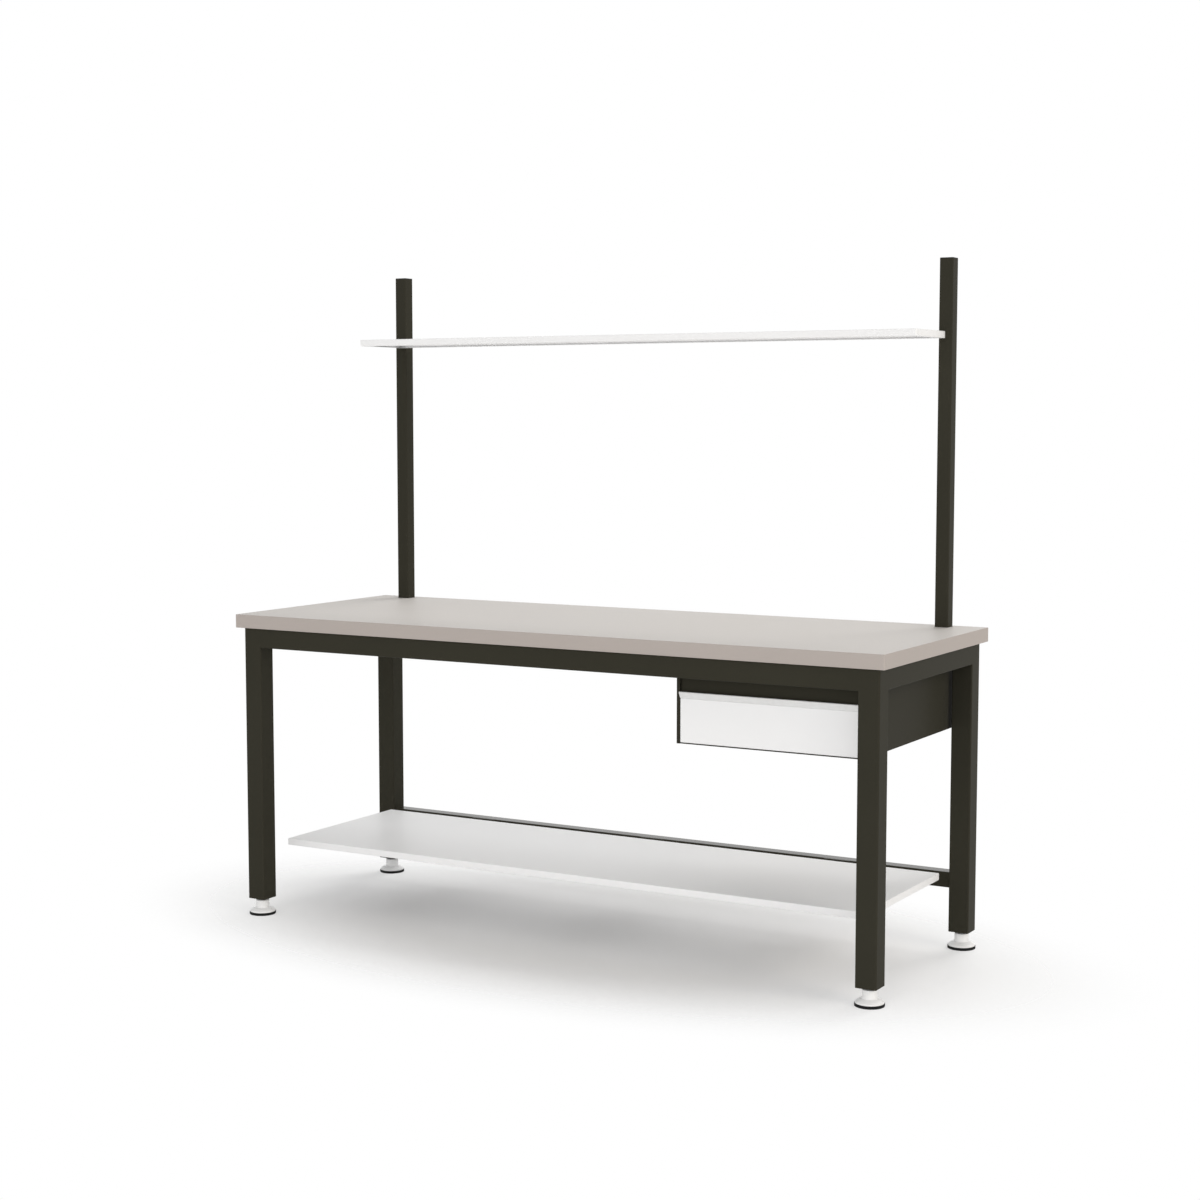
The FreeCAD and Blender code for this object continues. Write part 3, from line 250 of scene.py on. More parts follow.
class BenchStage(bpy.types.PropertyGroup):
    """Camera and light"""
    camera_place: lengths("Camera place", "Where the camera stands", (3.0421, -5.2682, 1.5338))
    camera_pitch: angle("Camera pitch", "How far the camera looks down", 5.176)
    camera_turn: angle("Camera turn", "How far the camera is turned to the left", 30.01)
    camera_lens: FloatProperty(name="Camera lens", description="Focal length of the camera", default=62.65,
                               min=1.0, unit="CAMERA")
    sky: share("Sky", "Strength of the light from all around", 0.47)
    key: power("Key", "Power of the soft lamp at the right", 760.0)
    key_place: lengths("Key place", "Where the right lamp hangs", (15.0, -2.65, 6.35))
    key_size: length("Key size", "Diameter of the right lamp", 9.9)
    key_tint: tint("Key tint", "Colour of the right lamp", (1.0, 0.93, 0.83))
    fill: power("Fill", "Power of the soft lamp in front", 216.0)
    fill_place: lengths("Fill place", "Where the front lamp hangs", (0.67, -7.75, 2.15))
    back: power("Back", "Power of the soft lamp behind", 278.0)
    back_place: lengths("Back place", "Where the rear lamp hangs", (1.03, 5.86, 6.15))
    lamp_size: length("Lamp size", "Diameter of the front and rear lamps", 5.5)
    lamp_tint: tint("Lamp tint", "Colour of the front and rear lamps", (1.0, 0.988, 0.975))
    lamp_aim: lengths("Lamp aim", "Point that the lamps face", (0.0, 0.0, 0.8))
    floor_tint: tint("Floor", "Colour of the floor", (0.95, 0.95, 0.95))
    floor_radius: length("Floor radius", "How far the floor reaches", 9.0)
    floor_oval: lengths("Floor oval", "Half sizes of the oval that shows of the floor", (1.70, 0.92, 1.0),
                        "XYZ")
    floor_fade: share("Floor fade", "Share of the oval at which the floor starts to fade", 0.40)


# Mesh building
def rounded_corner(before, corner, after, radius, steps):
    """Points of one corner of a 2-D line, rounded by an arc."""
    corner = Vector(corner)
    if radius <= 0.0:
        return [corner]
    back = (Vector(before) - corner).normalized()
    ahead = (Vector(after) - corner).normalized()
    half = back.angle(ahead) / 2.0
    centre = corner + (back + ahead).normalized() * (radius / math.sin(half))
    first = corner + back * (radius / math.tan(half)) - centre
    last = corner + ahead * (radius / math.tan(half)) - centre
    sweep = math.atan2(first.x * last.y - first.y * last.x, first.dot(last))
    return [centre + Matrix.Rotation(sweep * step / steps, 2) @ first for step in range(steps + 1)]


def soften(points, radii, steps=4):
    """An open 2-D line whose inner corners are rounded."""
    line = [Vector(points[0])]
    for before, corner, after, radius in zip(points, points[1:], points[2:], radii):
        line += rounded_corner(before, corner, after, radius, steps)
    return line + [Vector(points[-1])]


def soften_loop(points, radii, steps=4):
    """A closed 2-D line with rounded corners."""
    line = []
    for place, (corner, radius) in enumerate(zip(points, radii)):
        line += rounded_corner(points[place - 1], corner, points[(place + 1) % len(points)], radius, steps)
    return line


def skin(rings, loop=False):
    """Mesh through closed rings of equal point counts, capped at its ends or closed on itself."""
    made = bmesh.new()
    rows = [[made.verts.new(point) for point in ring] for ring in rings]
    count = len(rows[0])
    for near, far in zip(rows, rows[1:] + ([rows[0]] if loop else [])):
        for place in range(count):
            following = (place + 1) % count
            made.faces.new((near[place], near[following], far[following], far[place]))
    if not loop:
        made.faces.new(rows[0][::-1])
        made.faces.new(rows[-1])
    bmesh.ops.remove_doubles(made, verts=made.verts, dist=MERGE_DISTANCE)
    bmesh.ops.dissolve_degenerate(made, edges=made.edges, dist=SMALLEST_EDGE)
    bmesh.ops.recalc_face_normals(made, faces=made.faces)
    return made


def outline_ring(half_x, half_y, corner, height, matrix, steps=4):
    """One ring: a rectangle with rounded corners at a height, placed by a matrix."""
    corner = max(corner, SMALLEST_CORNER)
    ring = []
    for quarter, (sign_x, sign_y) in enumerate(((1, 1), (-1, 1), (-1, -1), (1, -1))):
        middle = Vector((sign_x * (half_x - corner), sign_y * (half_y - corner), height))
        for step in range(steps + 1):
            turn = QUARTER_TURN * (quarter + step / steps)
            ring.append(matrix @ (middle + Vector((math.cos(turn), math.sin(turn), 0.0)) * corner))
    return ring


def swept_frame(half_x, half_y, corner, section, matrix, loop=False):
    """Mesh of a section, as insets and heights, carried round a rectangle with rounded corners."""
    return skin([outline_ring(half_x - inset, half_y - inset, corner - inset, height, matrix)
                 for inset, height in section], loop)


def tray_section(height, sheet, lip, bend):
    """Section of a folded tray, its face at the top and its lips turned in at the bottom."""
    flat = TRAY_FLAT_IN_BENDS * bend
    edge = LIP_EDGE * sheet
    inner = bend - sheet
    points = [(flat, height), (0, height), (0, 0), (lip, 0), (lip, sheet), (sheet, sheet),
              (sheet, height - sheet), (flat, height - sheet)]
    return soften(points, (bend, bend, edge, edge, inner, inner))


def turned_ring(place, radius_at, sides):
    """One level ring round a place, with a radius for each turn."""
    ring = []
    for step in range(sides):
        turn = FULL_TURN * step / sides
        radius = radius_at(turn)
        ring.append(place + Vector((radius * math.cos(turn), radius * math.sin(turn), 0.0)))
    return ring


def lathe(outline, place, sides=48):
    """Mesh turned from a line of radii and heights round an upright axis."""
    return skin([turned_ring(place + Vector((0.0, 0.0, height)), lambda turn: radius, sides)
                 for radius, height in outline])


def drawn(loop, start, stop, spot):
    """Mesh of a closed 2-D line drawn straight, with each point placed by a function."""
    return skin([[spot(along, *point) for point in loop] for along in (start, stop)])


def plain_mesh(name, made):
    """A finished bmesh as mesh data."""
    mesh = bpy.data.meshes.new(name)
    made.to_mesh(mesh)
    made.free()
    return mesh


def joined(meshes):
    """One bmesh of several meshes, which are used up."""
    whole = bmesh.new()
    for mesh in meshes:
        whole.from_mesh(mesh)
        bpy.data.meshes.remove(mesh)
    return whole


def add_piece(name, made, body, slot, replaced=None, crease=None):
    """Put a mesh or bmesh in the scene as a piece of a body, in the finish of a slot."""
    mesh = made if isinstance(made, bpy.types.Mesh) else plain_mesh(name, made)
    piece = bpy.data.objects.new(name, mesh)
    bpy.context.scene.collection.objects.link(piece)
    if crease:
        mesh.shade_smooth()
        mesh.set_sharp_from_angle(angle=crease)
    mesh.materials.clear()
    mesh.materials.append(finish(slot))
    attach(piece, body)
    if replaced:
        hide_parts(replaced)


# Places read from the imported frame
def extent_of(node):
    """Low and high corner, middle and half size of a node's box."""
    low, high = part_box(node)
    return low, high, (low + high) / 2.0, (high - low) / 2.0


def box_of(points):
    """Low and high corner of the box round some points."""
    return [Vector([pick(point[axis] for point in points) for axis in range(3)]) for pick in (min, max)]


def bottom_of(low, high):
    """Matrix that moves the origin to the middle of a box's bottom."""
    return Matrix.Translation(((low.x + high.x) / 2.0, (low.y + high.y) / 2.0, low.z))


def facing_front(x, y, z):
    """Matrix that moves the origin to a place and turns the Z axis to the front."""
    return Matrix.Translation((x, y, z)) @ Matrix.Rotation(QUARTER_TURN, 4, "X")


def solids_of(node):
    """Points of each separate solid in a node."""
    made = bmesh.new()
    made.from_mesh(frame["nodes"][node].data)
    bmesh.ops.remove_doubles(made, verts=made.verts, dist=MERGE_DISTANCE)
    solids = []
    seen = set()
    for first in made.verts:
        if first in seen:
            continue
        seen.add(first)
        reached = [first]
        for vert in reached:
            for edge in vert.link_edges:
                other = edge.other_vert(vert)
                if other not in seen:
                    seen.add(other)
                    reached.append(other)
        solids.append([vert.co.copy() for vert in reached])
    made.free()
    return solids


def fixing_places(node):
    """Seat, direction from head to tip and length of each bolt or screw in a node."""
    places = []
    for points in solids_of(node):
        low, high = box_of(points)
        middle = (low + high) / 2.0
        along = max(range(3), key=lambda axis: high[axis] - low[axis])
        across = [axis for axis in range(3) if axis != along]
        reach = [math.hypot(*(point[axis] - middle[axis] for axis in across)) for point in points]
        widest = max(reach)
        head = [point[along] for point, far in zip(points, reach) if far > FIXING_HEAD_SHARE * widest]
        forward = 1.0 if sum(head) / len(head) < middle[along] else -1.0
        seat = middle.copy()
        seat[along] = max(head) if forward > 0 else min(head)
        tip = high[along] if forward > 0 else low[along]
        direction = Vector((0.0, 0.0, 0.0))
        direction[along] = forward
        places.append((seat, direction, abs(tip - seat[along])))
    return places


# Node trees
def new_tree(name, kind, inputs, outputs):
    """An empty node tree with named sockets, and its two end nodes."""
    tree = bpy.data.node_groups.new(name, kind)
    for way, sockets in (("OUTPUT", outputs), ("INPUT", inputs)):
        for label, value in sockets.items():
            tree.interface.new_socket(label, in_out=way, socket_type=f"NodeSocket{value}")
    return tree, add(tree, "NodeGroupInput"), add(tree, "NodeGroupOutput")


def add(tree, kind, values=None, **settings):
    """A node with its settings, and its inputs set to values or joined to sockets."""
    node = tree.nodes.new(kind)
    for key, value in settings.items():
        setattr(node, key, value)
    for key, value in (values or {}).items():
        if isinstance(value, bpy.types.NodeSocket):
            tree.links.new(value, node.inputs[key])
        else:
            node.inputs[key].default_value = value
    return node


def calc(tree, operation, first, second):
    """Output of a math node on two numbers or sockets."""
    return add(tree, "ShaderNodeMath", {0: first, 1: second}, operation=operation).outputs[0]


def geometry_tree(name, inputs):
    """An empty geometry tree that is given a finish, and its two end nodes."""
    return new_tree(name, "GeometryNodeTree", {"Geometry": "Geometry", **inputs, "Finish": "Material"},
                    {"Geometry": "Geometry"})


def end_tree(tree, start, end, shape):
    """Close a geometry tree: its shape as one plain mesh in the given finish."""
    real = add(tree, "GeometryNodeRealizeInstances", {"Geometry": shape})
    coated = add(tree, "GeometryNodeSetMaterial", {"Geometry": real.outputs[0],
                                                   "Material": start.outputs["Finish"]})
    tree.links.new(coated.outputs[0], end.inputs["Geometry"])
    return tree


def stand_on_points(tree, start, shape):
    """A shape on each of the given points, turned by the points' attribute."""
    turn = add(tree, "GeometryNodeInputNamedAttribute", {"Name": "turn"}, data_type="FLOAT_VECTOR")
    stood = add(tree, "GeometryNodeInstanceOnPoints", {"Points": start.outputs["Geometry"], "Instance": shape,
                                                       "Rotation": turn.outputs["Attribute"]})
    return stood.outputs[0]


def stub(tree, sides, radius, base, depth, slope, narrowing, turn):
    """A closed stub of a bolt, from a base along its axis, whose far end narrows over a slope."""
    bar = add(tree, "GeometryNodeMeshCylinder", {"Vertices": sides, "Radius": radius, "Depth": depth}).outputs
    longer = add(tree, "GeometryNodeExtrudeMesh", {"Mesh": bar["Mesh"], "Selection": bar["Top"],
                                                   "Offset Scale": slope}).outputs
    tapered = add(tree, "GeometryNodeScaleElements", {"Geometry": longer["Mesh"], "Selection": longer["Top"],
                                                      "Scale": narrowing})
    middle = calc(tree, "ADD", base, calc(tree, "DIVIDE", depth, 2.0))
    height = add(tree, "ShaderNodeCombineXYZ", {"Z": middle})
    raised = add(tree, "GeometryNodeTransform", {"Geometry": tapered.outputs[0],
                                                 "Translation": height.outputs[0]})
    turned = add(tree, "GeometryNodeTransform", {"Geometry": raised.outputs[0], "Rotation": (turn, 0.0, 0.0)})
    return turned.outputs[0]


def bolt_tree():
    """Flanged hexagon bolts on points, head behind the seat and shank ahead of it."""
    names = ("Across Flats", "Flange Diameter", "Head Height", "Shank Diameter", "Shank Length")
    tree, start, end = geometry_tree("hexagon_bolts", {name: "Float" for name in names})
    flats, flange, head, shank, reach = (start.outputs[name] for name in names)

    def part(whole, amount):
        """A share of a length."""
        return calc(tree, "MULTIPLY", whole, amount)

    rim = part(head, FLANGE_RIM)
    root = part(head, SHANK_ROOT)
    tip = part(shank, SHANK_TIP)
    bar = calc(tree, "SUBTRACT", calc(tree, "SUBTRACT", reach, tip), root)
    slope = part(head, FLANGE_SLOPE)
    corner = part(flats, 1.0 / math.sqrt(3.0))
    chamfer = part(head, HEX_CHAMFER)
    shapes = (
        (FLANGE_SIDES, part(flange, 0.5), 0.0, rim, slope, HEAD_NARROWING, math.pi),
        (HEX_SIDES, corner, rim, part(head, HEX_HEIGHT), chamfer, HEAD_NARROWING, math.pi),
        (SHANK_SIDES, part(shank, 0.5), root, bar, tip, TIP_NARROWING, 0.0),
    )
    whole = add(tree, "GeometryNodeJoinGeometry")
    for shape in shapes:
        tree.links.new(stub(tree, *shape), whole.inputs[0])
    return end_tree(tree, start, end, stand_on_points(tree, start, whole.outputs[0]))


def screw_tree():
    """Screws turned once as a pattern object and set on points."""
    tree, start, end = geometry_tree("pan_screws", {"Pattern": "Object"})
    pattern = add(tree, "GeometryNodeObjectInfo", {"Object": start.outputs["Pattern"]})
    return end_tree(tree, start, end, stand_on_points(tree, start, pattern.outputs["Geometry"]))


def weld_tree():
    """Rippled weld beads along edges."""
    tree, start, end = geometry_tree("weld_beads", {"Radius": "Float", "Ripple": "Float"})
    given = start.outputs
    lines = add(tree, "GeometryNodeMeshToCurve", {"Mesh": given["Geometry"]})
    step = calc(tree, "DIVIDE", given["Ripple"], RIPPLE_POINTS)
    points = add(tree, "GeometryNodeResampleCurve", {"Curve": lines.outputs[0], "Length": step},
                 mode="LENGTH")
    along = add(tree, "GeometryNodeSplineParameter").outputs["Length"]
    phase = calc(tree, "MULTIPLY", calc(tree, "DIVIDE", along, given["Ripple"]), FULL_TURN)
    wave = add(tree, "ShaderNodeMath", {0: phase}, operation="SINE").outputs[0]
    swell = calc(tree, "ADD", calc(tree, "MULTIPLY", wave, RIPPLE_SWELL), 1.0)
    sized = add(tree, "GeometryNodeSetCurveRadius", {"Curve": points.outputs[0], "Radius": swell})
    section = add(tree, "GeometryNodeCurvePrimitiveCircle", {"Resolution": BEAD_SIDES,
                                                             "Radius": given["Radius"]})
    bead = add(tree, "GeometryNodeCurveToMesh", {"Curve": sized.outputs[0],
                                                 "Profile Curve": section.outputs[0], "Fill Caps": True})
    return end_tree(tree, start, end, bead.outputs[0])


def run_tree(mesh, tree, values):
    """Plain mesh that a tree makes of a mesh, with its inputs set by their identifiers."""
    rough = bpy.data.objects.new("rough", mesh)
    bpy.context.scene.collection.objects.link(rough)
    modifier = rough.modifiers.new("tree", "NODES")
    modifier.node_group = tree
    for item in tree.interface.items_tree:
        if item.in_out == "INPUT" and item.name in values:
            modifier[item.identifier] = values[item.name]
    made = bpy.data.meshes.new_from_object(rough.evaluated_get(bpy.context.evaluated_depsgraph_get()))
    rough.modifiers.remove(modifier)
    bpy.data.objects.remove(rough)
    if not made.polygons:
        raise RuntimeError(f"{tree.name} made nothing")
    return made


def point_mesh(places):
    """Mesh of loose points that carry the turn of the fixing on each."""
    mesh = bpy.data.meshes.new("points")
    mesh.from_pydata([seat for seat, _, _ in places], [], [])
    turn = mesh.attributes.new("turn", "FLOAT_VECTOR", "POINT")
    for index, (_, direction, _) in enumerate(places):
        turn.data[index].vector = direction.to_track_quat("Z", "Y").to_euler()
    return mesh


# Shader groups
def effect_group(name, inputs, more=None):
    """An empty shader group that varies a colour, a gloss and a height, and its two end nodes."""
    outputs = {"Colour": "Color", "Gloss": "Float", "Height": "Float", **(more or {})}
    return new_tree(name, "ShaderNodeTree", {"Colour": "Color", **inputs}, outputs)


def put_out(group, end, values):
    """Join values to the outputs of a group."""
    for label, value in values.items():
        group.links.new(value, end.inputs[label])
    return group


def noise(group, place, scale, detail, roughness=0.5):
    """Value of a noise texture at a place."""
    return add(group, "ShaderNodeTexNoise", {"Vector": place, "Scale": scale, "Detail": detail,
                                             "Roughness": roughness}).outputs[0]


def spread(tree, value, low, high, start=0.3, stop=0.7):
    """A noise value spread over a new range."""
    return add(tree, "ShaderNodeMapRange", {"Value": value, "From Min": start, "From Max": stop,
                                            "To Min": low, "To Max": high}).outputs[0]


def near_one(group, value, amount, start=0.3, stop=0.7):
    """A noise value spread by an amount to either side of one."""
    low = calc(group, "SUBTRACT", 1.0, amount)
    high = calc(group, "ADD", 1.0, amount)
    return spread(group, value, low, high, start, stop)


def shade(tree, colour, first, second):
    """Colour times two numbers that vary over the surface."""
    amount = calc(tree, "MULTIPLY", first, second)
    grey = add(tree, "ShaderNodeCombineColor", {"Red": amount, "Green": amount, "Blue": amount})
    mix = add(tree, "ShaderNodeMix", {"Factor": 1.0, 6: colour, 7: grey.outputs[0]},
              data_type="RGBA", blend_type="MULTIPLY")
    return mix.outputs[2]


def powder_coat_group():
    """Slow drift of tone, fine orange peel and uneven gloss of a powder coat.

    The coat flows out best on level faces, and the film is a mask of those.
    """
    group, start, end = effect_group("powder_coat", {"Drift": "Float", "Grain": "Float", "Film": "Float"},
                                     {"Film": "Float"})
    given = start.outputs
    spot = add(group, "ShaderNodeTexCoord").outputs
    facing = add(group, "ShaderNodeSeparateXYZ", {"Vector": spot["Normal"]}).outputs
    cloud = noise(group, spot["Object"], scale=2.3, detail=3.0, roughness=0.55)
    peel = noise(group, spot["Object"], scale=given["Grain"], detail=1.5)
    speck = noise(group, spot["Object"], scale=1700.0, detail=1.0)
    tone = near_one(group, cloud, given["Drift"])
    fleck = near_one(group, speck, given["Drift"])
    return put_out(group, end, {
        "Colour": shade(group, given["Colour"], tone, fleck),
        "Gloss": calc(group, "MULTIPLY", cloud, peel),
        "Height": calc(group, "ADD", peel, calc(group, "MULTIPLY", speck, SPECK_RELIEF)),
        "Film": spread(group, facing["Z"], 0.0, given["Film"], start=0.90, stop=0.99),
    })


def fine_speckle_group():
    """Fine print or moulded grain: small cells of slightly different tone."""
    group, start, end = effect_group("fine_speckle", {"Contrast": "Float", "Scale": "Float"})
    given = start.outputs
    place = add(group, "ShaderNodeTexCoord").outputs["Object"]
    cells = add(group, "ShaderNodeTexVoronoi", {"Vector": place, "Scale": given["Scale"]})
    cell = add(group, "ShaderNodeSeparateColor", {"Color": cells.outputs["Color"]}).outputs
    cloud = noise(group, place, scale=1.6, detail=4.0, roughness=0.6)
    fleck = near_one(group, cell["Red"], given["Contrast"], start=0.0, stop=1.0)
    drift = near_one(group, cloud, given["Contrast"])
    return put_out(group, end, {
        "Colour": shade(group, given["Colour"], fleck, drift),
        "Gloss": cloud,
        "Height": noise(group, place, scale=given["Scale"], detail=3.0),
    })


def worked_metal_group():
    """Streaks of drawn or turned metal along one direction, with cloudy plating over them."""
    group, start, end = effect_group("worked_metal", {"Contrast": "Float", "Stretch": "Vector"})
    given = start.outputs
    place = add(group, "ShaderNodeTexCoord").outputs["Object"]
    stretched = add(group, "ShaderNodeVectorMath", {0: place, 1: given["Stretch"]}, operation="MULTIPLY")
    streak = noise(group, stretched.outputs[0], scale=1.0, detail=4.0)
    cloud = noise(group, place, scale=55.0, detail=3.0)
    line = near_one(group, streak, given["Contrast"])
    drift = near_one(group, cloud, given["Contrast"])
    return put_out(group, end, {
        "Colour": shade(group, given["Colour"], line, drift),
        "Gloss": calc(group, "MULTIPLY", streak, cloud),
        "Height": streak,
    })


GROUPS = {"powder_coat": powder_coat_group, "fine_speckle": fine_speckle_group,
          "worked_metal": worked_metal_group}


def group_named(name):
    """A shader group, built on first use."""
    return bpy.data.node_groups.get(name) or GROUPS[name]()


# Finish of each slot: group, its values, range of roughness, strength and distance of the bump, plain values
FINISHES = {
    "anthracite_paint": ("powder_coat", {"Drift": 0.05, "Grain": 520.0, "Film": 0.75}, (0.34, 0.46),
                         (0.06, 0.0003), {"Specular IOR Level": 0.018, "Coat Roughness": 0.12,
                                          "Specular Tint": (1.0, 0.92, 0.76, 1.0)}),
    "light_paint": ("powder_coat", {"Drift": 0.006, "Grain": 420.0}, (0.38, 0.50), (0.012, 0.0002),
                    {"Specular IOR Level": 0.25}),
    "laminate": ("fine_speckle", {"Contrast": 0.022, "Scale": 900.0}, (0.42, 0.52), (0.06, 0.0002),
                 {"Specular IOR Level": 0.25}),
    "edging": ("fine_speckle", {"Contrast": 0.02, "Scale": 1100.0}, (0.42, 0.55), (0.08, 0.0002),
               {"Specular IOR Level": 0.25}),
    "board": ("fine_speckle", {"Contrast": 0.03, "Scale": 600.0}, (0.50, 0.62), (0.08, 0.0003),
              {"Specular IOR Level": 0.25}),
    "zinc": ("worked_metal", {"Contrast": 0.07, "Stretch": (40.0, 700.0, 700.0)}, (0.26, 0.42),
             (0.05, 0.0001), {"Metallic": 1.0}),
    "foot_casting": ("worked_metal", {"Contrast": 0.02, "Stretch": (900.0, 900.0, 900.0)}, (0.30, 0.42),
                     (0.08, 0.0002), {"Specular IOR Level": 0.4}),
    "rubber": ("fine_speckle", {"Contrast": 0.12, "Scale": 700.0}, (0.62, 0.78), (0.25, 0.0004),
               {"Specular IOR Level": 0.15}),
    "grip_aluminium": ("worked_metal", {"Contrast": 0.03, "Stretch": (25.0, 1600.0, 1600.0)}, (0.30, 0.42),
                       (0.05, 0.0001), {"Metallic": 0.35}),
    "black_plastic": ("fine_speckle", {"Contrast": 0.06, "Scale": 800.0}, (0.42, 0.55), (0.15, 0.0003),
                      {"Specular IOR Level": 0.2}),
}


def coat(slot):
    """Build the material of a slot, its colour, gloss and bump from a shader group."""
    group, values, roughness, (strength, distance), constants = FINISHES[slot]
    material = bpy.data.materials.new(f"{slot}_finish")
    material.use_nodes = True
    tree = material.node_tree
    surface = tree.nodes["Principled BSDF"].inputs
    for key, value in constants.items():
        surface[key].default_value = value
    colour = (*getattr(bpy.context.scene.bench_colours, slot), 1.0)
    effect = add(tree, "ShaderNodeGroup", node_tree=group_named(group))
    for key, value in {"Colour": colour, **values}.items():
        effect.inputs[key].default_value = value
    varied = effect.outputs
    relief = add(tree, "ShaderNodeBump", {"Height": varied["Height"], "Strength": strength,
                                          "Distance": distance})
    tree.links.new(varied["Colour"], surface["Base Color"])
    tree.links.new(spread(tree, varied["Gloss"], *roughness, start=0.1, stop=0.5), surface["Roughness"])
    tree.links.new(relief.outputs["Normal"], surface["Normal"])
    if "Film" in values:
        tree.links.new(varied["Film"], surface["Coat Weight"])
    return material


def finish(slot):
    """The material of a slot, made on first use."""
    return bpy.data.materials.get(f"{slot}_finish") or coat(slot)


# Operators
class WORKBENCH_OT_frame(bpy.types.Operator):
    """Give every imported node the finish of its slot"""
    bl_idname = "workbench.frame"
    bl_label = "Finish the frame"

    def execute(self, context):
        """Assign the materials."""
        slots = {part["node"]: part["material_slot"] for part in frame["record"]["subparts"]}
        for node, thing in frame["nodes"].items():
            thing.data.materials.clear()
            thing.data.materials.append(finish(slots[node]))
        return {"FINISHED"}


class WORKBENCH_OT_worktop(bpy.types.Operator):
    """Rounded edging round the worktop"""
    bl_idname = "workbench.worktop"
    bl_label = "Edge the worktop"

    def execute(self, context):
        """Sweep the edging round the board."""
        sizes = context.scene.bench_sizes
        low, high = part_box("worktop_edging")
        half = (high - low) / 2.0
        width, soft, top = sizes.edging_width, sizes.edging_round, high.z - low.z
        section = soften_loop([(width, 0), (0, 0), (0, top), (width, top)], (0, soft, soft, 0))
        made = swept_frame(half.x, half.y, sizes.edging_corner, section, bottom_of(low, high), loop=True)
        add_piece("edging_band", made, "bench", "edging", "worktop_edging")
        return {"FINISHED"}


class WORKBENCH_OT_shelves(bpy.types.Operator):
    """Folded trays of the overhead shelf and the lower shelf"""
    bl_idname = "workbench.shelves"
    bl_label = "Fold the shelves"

    def execute(self, context):
        """Fold each tray in its node's box."""
        sizes = context.scene.bench_sizes
        for node, sheet in (("overhead_shelf", sizes.shelf_sheet), ("lower_shelf", sizes.lower_sheet)):
            low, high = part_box(node)
            half = (high - low) / 2.0
            section = tray_section(high.z - low.z, sheet, sizes.shelf_lip, sizes.bend)
            made = swept_frame(half.x, half.y, sizes.shelf_corner, section, bottom_of(low, high))
            add_piece(f"{node}_tray", made, "bench", "light_paint", node)
        return {"FINISHED"}


class WORKBENCH_OT_caps(bpy.types.Operator):
    """Plastic caps in the tops of the uprights"""
    bl_idname = "workbench.caps"
    bl_label = "Cap the uprights"

    def execute(self, context):
        """Mould both caps as one piece."""
        sizes = context.scene.bench_sizes
        caps = [self.mould_cap(sizes, *box_of(points)) for points in solids_of("upright_caps")]
        add_piece("upright_cap_pair", joined(caps), "bench", "black_plastic", "upright_caps")
        return {"FINISHED"}

    def mould_cap(self, sizes, low, high):
        """One cap: a plug with a lead-in, and a rim that covers the tube's end."""
        wall, plug, top = sizes.cap_wall, sizes.cap_plug, high.z - low.z
        flat = CAP_FLAT_IN_WALLS * wall
        half = (high - low) / 2.0
        section = soften([(flat, 0), (wall, 0), (wall, plug), (0, plug), (0, top), (flat, top)],
                         (CAP_LEAD, 0, CAP_SEAM, sizes.cap_round))
        return plain_mesh("cap", swept_frame(half.x, half.y, CAP_CORNER, section, bottom_of(low, high)))


